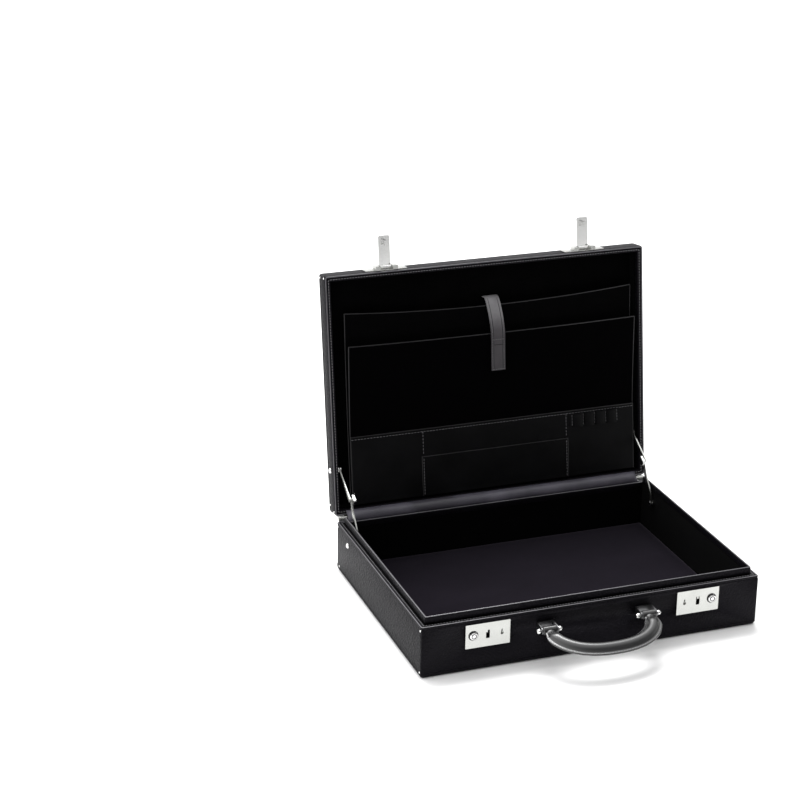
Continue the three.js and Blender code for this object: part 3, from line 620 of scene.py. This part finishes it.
# ---- leather shells ----
def shell_rings(height, rim_lower):
    """The leather skin of one half, standing on its large face at z = 0 with its rim up at z = height."""
    def ring(inset, z, back_inset=None, back_z=None, r=CORNER_R):
        back_inset = inset if back_inset is None else back_inset
        back_z = z if back_z is None else back_z
        corner = max(0.4 * MM, r - max(0.0, inset))
        y1 = BACK - back_inset
        points = ring_of(-HALF_W + inset, HALF_W - inset, FRONT + inset, y1, corner)
        return [(x, y, z + (back_z - z) * w) for x, y, w in points]

    rings = []
    steps = 6
    for i in range(steps + 1):
        a = math.radians(90 * i / steps)
        s, c = 1 - math.sin(a), 1 - math.cos(a)
        rings.append(ring(SIDE_EDGE_R * s, SIDE_EDGE_R * c, BACK_EDGE_R * s, BACK_EDGE_R * c))
    # Up the wall to a sewn bead on the rim's outer edge, across the rim and down inside.
    bead = 1.3 * MM
    top = height
    profile = [(0.0, top - 3.4 * MM), (0.35 * MM, top - 2.9 * MM)]
    for a in map(math.radians, range(-40, 141, 20)):
        profile.append((bead - 0.25 * MM - bead * math.cos(a), top - bead + bead * math.sin(a)))
    profile += [(2.8 * MM, top - 0.75 * MM), (3.6 * MM, top - 0.35 * MM), (5.6 * MM, top - 0.35 * MM)]
    profile += [(WALL - 0.4 * MM, top - 0.6 * MM), (WALL, top - 1.3 * MM), (WALL, top - rim_lower)]
    rings += [ring(inset, z) for inset, z in profile]
    return rings


def rim_ring(inset, r, z, steps):
    """Points round a rim, at an inset from the case's outer faces."""
    ring = ring_of(-HALF_W + inset, HALF_W - inset, FRONT + inset, BACK - inset, r, steps)
    return [(x, y, z) for x, y, _ in ring]


def make_shells():
    """Both leather halves, with the stitches, piping and welts of their edges."""
    halves = (("tray", REST, TRAY_HIGH.z, 30 * MM), ("lid", LID_UPRIGHT, LID_H, LID_H - 4 * MM))
    shells = {}
    for body, place, height, rim_lower in halves:
        verts, faces = loft(shell_rings(height, rim_lower), caps=(True, False))
        shell = piece(f"{body}_leather_shell", body, GRAINED, verts, faces, place, 50.0)
        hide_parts(f"{body}_shell")
        thicken(shell)
        shells[body] = shell
    for body, place, height, _ in halves:
        # The stitches lie in the flat of the rim, a little below its beads.
        path = rim_ring(4.6 * MM, 2 * MM, 0, 4)
        flat = place @ Matrix.Translation((0, 0, height - 0.35 * MM))
        stitches(f"{body}_rim_stitching", body, path, (0, 0, 1), closed=True,
                 pitch=3.6 * MM, length=2.6 * MM, r=0.45 * MM, place=flat)
    for body, place, height, _ in halves:
        make_welts(body, place, height)
        # The rim piping is paler as a painted highlight.
        path = rim_ring(1.1 * MM, 2.4 * MM, height - 0.75 * MM, 6)
        name = f"{body}_rim_piping"
        sweep(name, body, PIPING_PAINTED_HIGHLIGHT, path, 0.95 * MM, 10, closed=True, place=place)
    cut_lock_openings(shells["tray"])


def thicken(obj):
    """Closes the skin into a solid shell, as thick as its leather."""
    solid = obj.modifiers.new("thickness", "SOLIDIFY")
    solid.thickness = 0.8 * MM
    solid.offset = -1.0


def cut_lock_openings(tray):
    """Openings behind the lock plates, through the shell's skin."""
    for _, word in SIDES:
        low, high = node_box(f"lock_{word}_housing")
        through = (FRONT - 5 * MM, FRONT + WALL + 5 * MM)
        verts = [(x, y, z) for z in (low.z, high.z) for y in through for x in (low.x, high.x)]
        cutter = piece(f"lock_{word}_cutter", "tray", GRAINED, verts, BOX_FACES)
        opening = tray.modifiers.new("lock_opening", "BOOLEAN")
        opening.object = cutter
        opening.solver = "EXACT"
        apply_modifiers(tray)
        bpy.data.objects.remove(cutter)


def apply_modifiers(obj):
    """Makes what the modifiers show into the mesh itself."""
    bpy.context.view_layer.update()
    mesh = bpy.data.meshes.new_from_object(obj.evaluated_get(bpy.context.evaluated_depsgraph_get()))
    obj.modifiers.clear()
    obj.data = mesh


def make_welts(body, place, height):
    """A thin leather welt down each front corner and round the large panel's edge."""
    r = 0.75 * MM
    out = CORNER_R * (1 - math.sqrt(0.5))
    for sx, word in SIDES:
        x = sx * (HALF_W - out)
        y = FRONT + out
        path = [(x, y, SIDE_EDGE_R + (height - 4 * MM - SIDE_EDGE_R) * k / 20) for k in range(21)]
        sweep(f"{body}_corner_welt_{word}", body, GRAINED, path, r, 10, place=place)
    inset = 0.1 * MM
    ring = ring_of(-HALF_W + inset, HALF_W - inset, FRONT + inset, BACK - inset, CORNER_R, 6)
    path = [(x, y, (SIDE_EDGE_R + 1.2 * MM) + (BACK_EDGE_R - SIDE_EDGE_R) * w) for x, y, w in ring]
    sweep(f"{body}_panel_welt", body, GRAINED, path, 0.6 * MM, 8, closed=True, place=place)


# ---- linings ----
# The dust lip stands tall round the front and sides, and stops just above the rim along the hinge.
LIP_DROP_FROM = 55 * MM
LIP_DROP = LINER_HIGH.z - TRAY_HIGH.z - 0.8 * MM
LINING_R = 2 * MM


def hinge_side_drop(z):
    return max(0.0, min(z - LIP_DROP_FROM, LIP_DROP))


def no_drop(z):
    return 0.0


def band(name, body, material, outline, section, place=REST, back_drop=no_drop):
    """A ring with a section of (inset, height) points, swept round an outline of (half width, y0, y1)."""
    x, y0, y1 = outline
    rings = []
    for inset, z in section:
        corner = max(0.4 * MM, LINING_R - inset)
        points = ring_of(-x + inset, x - inset, y0 + inset, y1 - inset, corner)
        rings.append([(px, py, z - back_drop(z) * w) for px, py, w in points])
    verts, faces = loft(rings, close=True)
    return piece(name, body, material, verts, faces, place)


def make_tray_lining():
    """The lining board with its raised lip, leather folded over the lip, and a polished bead on top, made
    paler as a painted highlight.
    """
    outline = (LINER_HIGH.x, LINER_LOW.y, LINER_HIGH.y)
    foot, top = LINER_LOW.z, LINER_HIGH.z
    t = LINER_T
    eased = 0.2 * MM
    section = [(0, foot), (0, top - 8 * MM), (eased, top - 1 * MM)]
    section += [(t - eased, top - 1 * MM), (t, top - 8 * MM), (t, foot)]
    liner = band("tray_wall_lining", "tray", LINING, outline, section, back_drop=hinge_side_drop)
    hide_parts("tray_dust_lip_liner")

    skin = 0.25 * MM
    hem = top - 7.5 * MM
    turn = hem + 0.6 * MM
    crown = top - 1.2 * MM
    section = [(-0.05 * MM, hem), (-skin, turn), (-skin, crown), (0.1 * MM, top - 0.2 * MM)]
    section += [(t - 0.1 * MM, top - 0.2 * MM), (t + skin, crown), (t + skin, turn), (t + 0.02 * MM, hem)]
    band("dust_lip_binding", "tray", GRAINED, outline, section, back_drop=hinge_side_drop)

    r = 0.8 * MM
    middle, height = t / 2 - 0.3 * MM, top - 0.35 * MM
    section = [(middle + r * math.cos(a), height + r * math.sin(a)) for a in turn_angles(8)]
    band("dust_lip_bead", "tray", PIPING_PAINTED_HIGHLIGHT, outline, section, back_drop=hinge_side_drop)


def slab_faces(columns, rows):
    """Faces of a slab between two grids of points, with all of the first grid's points listed first."""
    stride = columns + 1
    base = stride * (rows + 1)
    faces = []
    for j in range(rows):
        for i in range(columns):
            a = j * stride + i
            faces.append((a, a + 1, a + stride + 1, a + stride))
            faces.append((base + a, base + a + stride, base + a + stride + 1, base + a + 1))
    border = list(range(stride))
    border += [j * stride + columns for j in range(1, rows + 1)]
    border += [rows * stride + i for i in range(columns - 1, -1, -1)]
    border += [j * stride for j in range(rows - 1, 0, -1)]
    for a, b in zip(border, border[1:] + border[:1]):
        faces.append((a, b, base + b, base + a))
    return faces


def quilt(name, body, material, low, high, edge, wave, seed, cell, place=REST):
    """A thin padded panel in a box: flat underside, softly uneven top, rounded edges."""

    def height(x, y):
        inside = min(x - low.x, high.x - x, y - low.y, high.y - y)
        t = min(1.0, max(0.0, inside / edge))
        crown = math.sqrt(max(0.0, 1 - (1 - t) ** 2))
        ripple = wave * t * noise.noise(Vector((x * 11, y * 11, seed)))
        return low.z + (high.z - low.z - wave) * (0.25 + 0.75 * crown) + ripple

    def grid_lines(a, b):
        """Even lines from a to b, and more of them across the rounded edges."""
        n = max(8, round((b - a) / cell))
        rounding = [a, a + edge * 0.15, a + edge * 0.45, b - edge * 0.45, b - edge * 0.15, b]
        return sorted({*rounding, *(a + (b - a) * (k / n) for k in range(n + 1))})

    xs, ys = grid_lines(low.x, high.x), grid_lines(low.y, high.y)
    verts = [(x, y, height(x, y)) for y in ys for x in xs]
    verts += [(x, y, low.z) for y in ys for x in xs]
    return piece(name, body, material, verts, slab_faces(len(xs) - 1, len(ys) - 1), place)


def make_floor_pad():
    low, high = node_box("tray_floor_pad")
    pad = quilt("tray_suede_pad", "tray", SUEDE, low, high, 3.5 * MM, 0.5 * MM, 3, 4 * MM)
    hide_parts("tray_floor_pad")


def make_lid_lining():
    low, high = node_box("lid_lining_board", SHUT)
    facing_out = OPEN @ Matrix.Translation((0, 0, low.z + high.z)) @ Matrix.Scale(-1, 4, (0, 0, 1))
    edge, wave, seed, cell = 2.5 * MM, 0.3 * MM, 8, 6 * MM
    board = quilt("lid_back_lining", "lid", LINING, low, high, edge, wave, seed, cell, facing_out)
    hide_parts("lid_lining_board")
    low, high = node_box("lid_wall_lining", SHUT)
    t, eased, hem = 1.2 * MM, 0.3 * MM, low.z + 0.6 * MM
    section = [(0, high.z), (0, hem), (eased, low.z), (t - eased, low.z), (t, hem), (t, high.z)]
    outline = (high.x, low.y, high.y)
    lining = band("lid_side_lining", "lid", LINING, outline, section, place=OPEN)
    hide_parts("lid_wall_lining")


# ---- organiser in the lid ----
BACK_LEAN = 5 * MM
MIDDLE_LEAN = 9 * MM


def on_lid(x, u, z):
    """A place on the organiser: x across, u up the lid from the hinge, z in the shut case.

    A lower z is nearer the viewer.
    """
    return (x, HINGE.y - u, z)


def lid_span(name):
    """A lid node's x, u and z ranges in the shut case."""
    low, high = node_box(name, SHUT)
    return (low.x, high.x), (HINGE.y - high.y, HINGE.y - low.y), (low.z, high.z)


def soft_panel(name, slot, material, node, seed, billow, sag=0.0, lean=0.0, hold=0.0,
               t=1.1 * MM, columns=56, rows=34):
    """A pocket's closed cloth front, in place of a CAD node, with its left, top and right edges.

    It is held flat up to a share of its height, and leans out, billows and sags above that.
    """
    (x0, x1), (u0, u1), (_, z1) = lid_span(node)

    def point(i, j):
        across, tall = i / columns, j / rows
        edge = 1 - (2 * across - 1) ** 2
        u = u0 + (u1 - u0 - sag * edge) * tall
        crease = noise.noise(Vector((across * 5, tall * 3, seed)))
        loose = max(0.0, tall - hold) / (1 - hold)
        out = edge ** 0.5 * (billow * loose ** 1.5 + 0.5 * MM * crease * min(1, 6 * loose))
        return x0 + (x1 - x0) * across, u, z1 - t - out - lean * loose ** 1.3

    front = [on_lid(*point(i, j)) for j in range(rows + 1) for i in range(columns + 1)]
    back = [(x, y, z + t) for x, y, z in front]
    panel = piece(name, "lid", material, front + back, slab_faces(columns, rows), OPEN, 50.0)
    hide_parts(node)
    stride = columns + 1
    top = [Vector(p) for p in front[rows * stride:]]
    left = [Vector(p) for p in front[::stride]]
    right = [Vector(p) for p in front[columns::stride]]
    return panel, left, top, right


def bind_edges(name, left, top, right, t=1.1 * MM, r=0.75 * MM, ending="binding"):
    """Narrow leather bindings folded over a panel's open edges."""
    for side, edge in (("left", left), ("top", top), ("right", right)):
        middle = [p + Vector((0, 0, t / 2)) for p in edge]
        sweep(f"{name}_{side}_{ending}", "lid", BINDING, middle, r, 8, place=OPEN)


def pocket_gusset(name, node):
    """The accordion folds that let a pocket open, at its two ends, and the cloth along its foot."""
    (x0, x1), (u0, u1), (z0, z1) = lid_span(node)
    t = 0.7 * MM
    deep = 3 * MM
    third = (z1 - z0) * 0.3
    folds = [(0.0, z1), (1.0, z1 - third), (0.0, (z0 + z1) / 2), (1.0, z0 + third), (0.0, z0)]
    verts, faces = [], []
    for end, inward in ((x0, 1), (x1, -1)):
        start = len(verts)
        for u in (u0, u1):
            for share, z in folds:
                x = end + inward * deep * share
                verts += [on_lid(x, u, z), on_lid(x + inward * t, u, z)]
        faces += [tuple(start + i for i in face) for face in ribbon_faces(len(folds))]
    gusset = piece(name, "lid", LINING, verts, faces, OPEN, 25.0)
    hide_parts(node)
    corners = [on_lid(x, u, z) for z in (z0, z1) for u in (u0, u0 + 1.2 * MM) for x in (x0, x1)]
    piece(name + "_foot", "lid", LINING, corners, BOX_FACES, OPEN, 30.0)


def ribbon_faces(count):
    """Faces of a folded ribbon with two rows of count pairs of points; a pair is its two skins."""
    n = 2 * count
    faces = []
    for a in range(0, n - 2, 2):
        for side in (0, 1):
            faces.append((a + side, a + side + 2, a + side + n + 2, a + side + n))
        for row in (0, n):
            faces.append((row + a, row + a + 1, row + a + 3, row + a + 2))
    for a in (0, n - 2):
        faces.append((a, a + 1, a + n + 1, a + n))
    return faces


def make_pockets():
    """The two gusseted pockets behind the front panel, which holds them flat up to its own top."""
    held_to = lid_span("organiser_front_panel")[1][1] + 1 * MM
    pockets = (
        ("back", "lining", DARK_CLOTH, 8 * MM, BACK_LEAN),
        # The middle pocket's suede is darkened as painted shade.
        ("middle", "suede", POCKET_SUEDE_PAINTED_SHADE, 2 * MM, MIDDLE_LEAN),
    )
    for word, slot, material, sag, lean in pockets:
        node = f"organiser_{word}_pocket"
        (x0, x1), (u0, u1), _ = lid_span(node)
        shape = dict(seed=len(word), billow=1 * MM, sag=sag, lean=lean, hold=(held_to - u0) / (u1 - u0))
        panel, *edges = soft_panel(f"{word}_pocket_front", slot, material, node, **shape)
        bind_edges(f"{word}_pocket", *edges)
        pocket_gusset(f"{word}_pocket_gusset", f"organiser_{word}_gusset")


def make_front_panel():
    """The leather panel over the middle pocket, sewn into compartments, with a card pocket."""
    out = (0, 0, -1)
    (x0, x1), (u0, u1), (_, z1) = lid_span("organiser_front_panel")
    (c0, c1), (v0, v1), (w0, _) = lid_span("organiser_card_slot")
    shape = dict(seed=7, billow=0.6 * MM, rows=16)
    panel, *edges = soft_panel(
        "front_leather_panel", "smooth_leather", PANEL_LEATHER, "organiser_front_panel", **shape)
    bind_edges("front_panel", *edges)
    row = [p + Vector((0, 3.2 * MM, 0.1 * MM)) for p in edges[1]]
    stitches("front_panel_top_stitching", "lid", row, out, place=OPEN)

    t = 0.9 * MM
    shape = dict(seed=5, billow=0.5 * MM, rows=10, t=t)
    card, *edges = soft_panel(
        "card_pocket", "smooth_leather", PANEL_LEATHER, "organiser_card_slot", **shape)
    bind_edges("card_pocket", *edges, t=t, ending="edge")

    for x, word in ((c0 + 2 * MM, "left"), (c1 - 2 * MM, "right")):
        above = [on_lid(x, v1 + 3 * MM + (u1 - v1 - 5 * MM) * k / 12, z1 - 1.75 * MM) for k in range(13)]
        stitches(f"compartment_{word}_stitching", "lid", above, out, place=OPEN)
        beside = [on_lid(x, v0 + 1 * MM + (v1 - v0 - 3 * MM) * k / 12, w0 - 0.05 * MM) for k in range(13)]
        stitches(f"card_pocket_{word}_stitching", "lid", beside, out, place=OPEN)


def make_pen_loops():
    """A leather strip sewn down between four pen slots."""
    (x0, x1), (u0, u1), (z0, z1) = lid_span("organiser_pen_loops")
    count = 4
    margin = 3 * MM
    pitch = (x1 - x0 - 2 * margin) / count
    deep = z1 - z0 - 0.2 * MM
    steps = 12
    skin = 0.9 * MM
    line = [(x0, z1 - skin)]
    for i in range(count):
        for k in range(steps + 1):
            a = math.pi * k / steps
            x = x0 + margin + pitch * (i + 0.5) - math.cos(a) * pitch * 0.46
            line.append((x, z1 - skin - (deep - skin) * math.sin(a) ** 0.8))
    line.append((x1, z1 - skin))
    verts = []
    for u in (u0, u1):
        for x, z in line:
            verts += [on_lid(x, u, z), on_lid(x, u, min(z1 + 0.2 * MM, z + skin))]
    faces = ribbon_faces(len(line))
    loops = piece("pen_loops", "lid", PANEL_LEATHER, verts, faces, OPEN, 50.0)
    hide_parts("organiser_pen_loops")
    for i in range(count + 1):
        x = x0 + margin + pitch * i
        seam = [on_lid(x, u0 + 1 * MM + (u1 - u0 - 2 * MM) * k / 6, z1 - skin) for k in range(7)]
        stitches(f"pen_loop_seam_{i + 1}", "lid", seam, (0, 0, -1), place=OPEN)


def make_strap():
    """The closing strap: out of the lining, over the pockets' mouths and down to its squared tip."""
    (x0, x1), (u0, u1), (_, z1) = lid_span("organiser_strap")
    back_top = lid_span("organiser_back_pocket")[1][1]
    back_z = lid_span("organiser_back_pocket")[2][0] - BACK_LEAN
    middle_top = lid_span("organiser_middle_pocket")[1][1]
    middle_z = lid_span("organiser_middle_pocket")[2][0] - MIDDLE_LEAN
    t = 1.5 * MM
    clear = 3.4 * MM
    keys = [(u1 - 9.5 * MM, z1 + 0.6 * MM), (u1 - 8.8 * MM, z1 - 4.5 * MM), (u1 - 11 * MM, z1 - 10 * MM)]
    high_u, high_z = back_top - 8 * MM, back_z - clear
    low_u, low_z = middle_top - 4 * MM, middle_z - clear
    for share in (0.0, 1 / 3, 2 / 3, 1.0):
        bulge = 2.5 * MM * math.sin(math.pi * share)
        keys.append((high_u + (low_u - high_u) * share, high_z + (low_z - high_z) * share - bulge))
    keys += [(u0 + 20 * MM, low_z + 1.2 * MM), (u0, low_z + 1.6 * MM)]
    line = smooth_line(keys, 8)
    rows = []
    half = (x1 - x0) / 2
    mid = (x0 + x1) / 2
    # Across the strap's face: a raised edge, the stitched channel, and a crowned middle.
    edge = [(1.0, 0.25), (0.97, 0.6), (0.88, 0.5), (0.8, 0.42), (0.7, 0.55)]
    profile = [(-a, b) for a, b in edge] + [(0.0, 0.62)] + edge[::-1]
    for i, (u, z) in enumerate(line):
        before, after = line[max(0, i - 1)], line[min(len(line) - 1, i + 1)]
        du, dz = after[0] - before[0], after[1] - before[1]
        size = math.hypot(du, dz)
        # Out of the strap's face, towards the viewer.
        nu, nz = -dz / size, du / size
        if nz > 0:
            nu, nz = -nu, -nz
        ring = [on_lid(mid + half * a, u + nu * b * t, z + nz * b * t) for a, b in profile]
        ring += [on_lid(mid + half * a, u - nu * 0.4 * t, z - nz * 0.4 * t) for a in (1.0, 0.0, -1.0)]
        rows.append(ring)
    verts, faces = loft(rows, caps=(True, True))
    strap = piece("closing_strap", "lid", STRAP_LEATHER, verts, faces, OPEN, 40.0)
    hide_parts("organiser_strap")
    for side, word in SIDES:
        row = [on_lid(mid + side * half * 0.8, u, z - 0.42 * t) for u, z in line[4:]]
        stitches(f"strap_{word}_stitching", "lid", row, (0, 0, -1),
                 pitch=3.2 * MM, length=2.2 * MM, r=0.25 * MM, place=OPEN)
        # Painted shade: thin near-black cords along the strap, for the shade of its creased lines.
        groove_shade = [on_lid(mid + side * half * 0.66, u, z - 0.5 * t) for u, z in line[4:]]
        sweep(f"strap_{word}_groove", "lid", STRAP_SHADE_CORD, groove_shade, 0.4 * MM, 8, place=OPEN)
    # Painted shade: a near-black cord across the strap where it folds.
    u, z = line[-len(line) // 5]
    fold = [on_lid(mid + half * 0.66 * (k / 4 - 1), u, z - 0.5 * t) for k in range(9)]
    sweep("strap_fold_groove", "lid", STRAP_SHADE_CORD, fold, 0.5 * MM, 8, place=OPEN)
    for near, word in ((2, "tip"), (len(line) // 5 + 2, "seam")):
        u, z = line[-near]
        row = [on_lid(mid + half * 0.8 * (k / 4 - 1), u, z - 0.62 * t) for k in range(9)]
        stitches(f"strap_{word}_stitching", "lid", row, (0, 0, -1),
                 pitch=3.0 * MM, length=2.1 * MM, r=0.25 * MM, place=OPEN)


def smooth_line(keys, steps):
    """A Catmull-Rom line through points of two values."""
    points = [keys[0], *keys, keys[-1]]
    line = []
    for a, b, c, d in zip(points, points[1:], points[2:], points[3:]):
        for k in range(steps):
            t = k / steps
            line.append(tuple(
                0.5 * (2 * b[i] + (c[i] - a[i]) * t + (2 * a[i] - 5 * b[i] + 4 * c[i] - d[i]) * t * t
                       + (3 * b[i] - a[i] - 3 * c[i] + d[i]) * t ** 3)
                for i in range(2)
            ))
    line.append(keys[-1])
    return line


# ---- hinge ----
def make_hinge_roll():
    """The leather roll round the hinge rod."""
    low, high = node_box("hinge_leather_roll")
    r = (high.z - low.z) / 2
    profile = [(0, low.x), (r * 0.7, low.x), (r, low.x + 1 * MM)]
    profile += [(r, low.x + (high.x - low.x) * k / 40) for k in range(1, 40)]
    profile += [(r, high.x - 1 * MM), (r * 0.7, high.x), (0, high.x)]
    verts, faces = lathe(profile, 20)
    middle = Vector((0, (low.y + high.y) / 2, (low.z + high.z) / 2))
    at = Matrix.Translation(middle) @ ALONG_X
    roll = piece("hinge_roll", "tray", GRAINED, verts, faces, at, 50.0)
    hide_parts("hinge_leather_roll")


def make_hinge_strip():
    """A soft leather strip over the gap between the tray's rim and the lid's, drawn in its shape for the
    open lid.
    """
    _, high = node_box("hinge_leather_roll")
    half = high.x + 5 * MM
    foot = Vector((0, BACK - 5.6 * MM, TRAY_HIGH.z + 0.4 * MM))
    head = OPEN @ Vector((0, BACK - 6.2 * MM, LID_LOW.z - 0.2 * MM))
    across = head - foot
    out = Vector((0, -across.z, across.y)).normalized()
    rings = []
    columns = 120
    for k in range(columns + 1):
        share = k / columns
        x = -half + 2 * half * share
        puff = min(1.0, min(share, 1 - share) * 60) ** 0.5
        ring = []
        for i in range(17):
            s = i / 16
            crown = math.sin(math.pi * s) ** 0.7 * puff
            ripple = 0.25 * MM * noise.noise(Vector((x * 60, s * 2, 4)))
            p = foot + across * s + out * (4.6 * MM * crown + ripple)
            ring.append((x, p.y, p.z))
        for i in range(16, -1, -1):
            p = foot + across * (i / 16) - out * 0.5 * MM
            ring.append((x, p.y, p.z))
        rings.append(ring)
    verts, faces = loft(rings, caps=(True, True))
    # The strip takes the roll leather, paler as a painted highlight.
    strip = piece("hinge_leather_strip", None, ROLL_LEATHER_PAINTED_HIGHLIGHT, verts, faces, sharp=50.0)
    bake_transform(strip)


# ---- handle ----
HANDLE_DROOP = math.radians(13)
HANDLE_HALF = 64.5 * MM
HANDLE_REACH = 47 * MM
HANDLE_POWER = 2.3


def handle_line(steps):
    """The grip's middle line, half of a squarish ellipse from pin to pin, in the handle's own plane."""
    first = math.asin((3.0 * MM / HANDLE_REACH) ** (HANDLE_POWER / 2))
    line = []
    for i in range(steps + 1):
        a = first + (math.pi - 2 * first) * i / steps
        x = -math.copysign(HANDLE_HALF * abs(math.cos(a)) ** (2 / HANDLE_POWER), math.cos(a))
        line.append(Vector((x, -HANDLE_REACH * math.sin(a) ** (2 / HANDLE_POWER), 0)))
    return line


def handle_section(across, tab):
    """The grip's upper half as (across, height) points: a dome with a flat flange on each side of it."""
    dome_in = across - 1.5 * MM
    dome_out = across - (1.5 + 2.6 * tab) * MM
    middle = (dome_out - dome_in) / 2
    radius = (dome_out + dome_in) / 2
    thick = (3.2 + 4.0 * tab) * MM
    lip = 1.15 * MM
    upper = []
    for k in range(21):
        s = across * math.cos(math.pi * k / 20)
        dome = thick * math.sqrt(max(0.0, 1 - ((s - middle) / radius) ** 2))
        flange = lip * math.sqrt(max(0.0, 1 - max(0.0, (abs(s) - across + lip) / lip) ** 2))
        upper.append((s, max(dome, flange)))
    return upper


def make_handle():
    """The stitched leather grip, thinner at its ends, and the leather wrapped round the pin at each end."""
    low, high = node_box("handle_left_end")
    end_x = (high.x + low.x) / 2
    pin = Vector(JOINTS["handle_swing"]["pos_m"])
    at_rest = Matrix.Translation(pin) @ Matrix.Rotation(HANDLE_DROOP, 4, "X")
    steps = 96
    line = handle_line(steps)
    rings, edges = [], {"outer": [], "inner": []}
    for i, p in enumerate(line):
        t = (line[min(steps, i + 1)] - line[max(0, i - 1)]).normalized()
        out = Vector((t.y, -t.x, 0))
        if out.dot(Vector((p.x, p.y - 1 * MM, 0))) < 0:
            out = -out
        # 0 at the thin ends, which are as far apart as the pins, and 1 along the full grip.
        tab = min(1.0, max(0.0, (-p.y - 5 * MM) / (13 * MM)))
        tab = tab * tab * (3 - 2 * tab)
        to_end = -math.copysign(abs(p.x) - abs(end_x), p.x)
        centre = p + Vector((to_end * (1 - tab), 0, 0))
        across = (7.4 + 3.0 * tab) * MM
        upper = handle_section(across, tab)
        ring = [centre + out * s + Vector((0, 0, h)) for s, h in upper]
        ring += [centre + out * s - Vector((0, 0, h)) for s, h in reversed(upper[1:-1])]
        rings.append(ring)
        if -p.y > 10 * MM:
            edges["outer"].append(centre + out * (across - 1.9 * MM))
            edges["inner"].append(centre - out * (across - 0.95 * MM))
    verts, faces = loft(rings, caps=(True, True))
    grip = piece("handle_leather", "handle", POLISHED, verts, faces, at_rest, 50.0)
    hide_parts("handle_grip", "handle_left_end", "handle_right_end")
    for word, edge in edges.items():
        for side, face in ((1, "top"), (-1, "under")):
            row = [p + Vector((0, 0, side * 1.15 * MM)) for p in edge]
            name = f"handle_{word}_{face}_stitching"
            stitches(name, "handle", row, (0, 0, side),
                     pitch=3.6 * MM, length=2.5 * MM, r=0.3 * MM, place=at_rest)
    for side, word in SIDES:
        middle = -side * end_x
        wrap_pin(f"handle_{word}_barrel_wrap", middle, (high.x - low.x) / 2, at_rest @ ALONG_X)


def wrap_pin(name, middle, half, place):
    """Leather wrapped round a handle pin, with eased ends."""
    r, bore, eased = 5.0 * MM, 2.1 * MM, 0.8 * MM
    a, b = middle - half, middle + half
    section = [(bore, a), (r - eased, a), (r, a + eased), (r, b - eased), (r - eased, b), (bore, b)]
    verts, faces = turned_ring(section)
    piece(name, "handle", POLISHED, verts, faces, place, 35.0)


# ---- painted shade rings round the lock buttons ----
def make_button_rings():
    """Painted shade: a flat near-black ring on the plate round each lock button, and another in the
    button's face where a turned channel would be shaded.
    """
    deep = 0.15 * MM
    for _, word in SIDES:
        low, high = node_box(f"lock_{word}_button")
        plate_low, _ = node_box(f"lock_{word}_plate")
        x, z = (low.x + high.x) / 2, (low.z + high.z) / 2
        # Painted shade: both rings are thin flat discs, not openings; the first stands for the shade beside
        # the button, the second for a shaded channel in its face.
        for part, body, y, r0, r1 in (("gap", "tray", plate_low.y, 5.1 * MM, 6.1 * MM),
                                      ("groove_shade", f"lock_{word}_push_button", low.y, 2.2 * MM, 3.2 * MM)):
            verts, faces = turned_ring([(r0, 0), (r1, 0), (r1, deep), (r0, deep)])
            at = Matrix.Translation((x, y, z)) @ FACING_FRONT
            piece(f"lock_{word}_button_{part}", body, PAINTED_SHADE_METAL, verts, faces, at)


# ---- chrome studs ----
def make_studs():
    """Small bright rivets at the corners of both side faces."""
    r = 1.35 * MM
    verts, faces = lathe([(0, 0), (r, 0), (r * 0.9, 0.35 * MM), (r * 0.55, 0.7 * MM), (0, 0.85 * MM)], 20)
    for body, place, tall in (("tray", REST, TRAY_HIGH.z), ("lid", LID_UPRIGHT, LID_H)):
        for side, word in SIDES:
            turn = Matrix.Rotation(math.radians(90 * side), 4, "Y")
            spots = [(FRONT + 3.2 * MM, tall - 5.2 * MM), (BACK - 4.2 * MM, tall - 5.2 * MM)]
            spots += [(FRONT + 4.2 * MM, 6.5 * MM), (BACK - 10 * MM, 7.5 * MM)]
            for k, (y, z) in enumerate(spots):
                at = place @ Matrix.Translation((side * (HALF_W - 0.1 * MM), y, z)) @ turn
                piece(f"{body}_{word}_stud_{k + 1}", body, BRIGHT, verts, faces, at, 60.0)


# ---- metalwork from the CAD ----
def finish_cad():
    """Materials and eased edges for the CAD pieces that stay in view."""
    for name, node in NODES.items():
        if node.hide_render:
            continue
        material = METAL
        # The lock housings show only through the plates' slots and are near-black as painted shade.
        if name.endswith("_housing"):
            material = HOUSING_PAINTED_SHADE
        elif name == "tray_floor_board":
            material = BOARD
        elif name.endswith("_bracket"):
            material = NICKEL
        elif name.endswith(("_button", "_pin", "_rivet", "_knuckle", "_tongue")):
            material = BRIGHT
        node.data.materials.clear()
        node.data.materials.append(material)
        node.data.shade_smooth()
        node.data.set_sharp_from_angle(angle=math.radians(32))
        bevel = node.modifiers.new("eased_edges", "BEVEL")
        bevel.width = 0.22 * MM
        bevel.segments = 2
        bevel.limit_method = "ANGLE"
        bevel.angle_limit = math.radians(40)
        bevel.harden_normals = True
        bevel.use_clamp_overlap = True


make_camera()
make_studio()
make_shells()
make_tray_lining()
make_floor_pad()
make_lid_lining()
make_pockets()
make_front_panel()
make_pen_loops()
make_strap()
make_hinge_roll()
make_hinge_strip()
make_handle()
make_button_rings()
make_studs()
finish_cad()
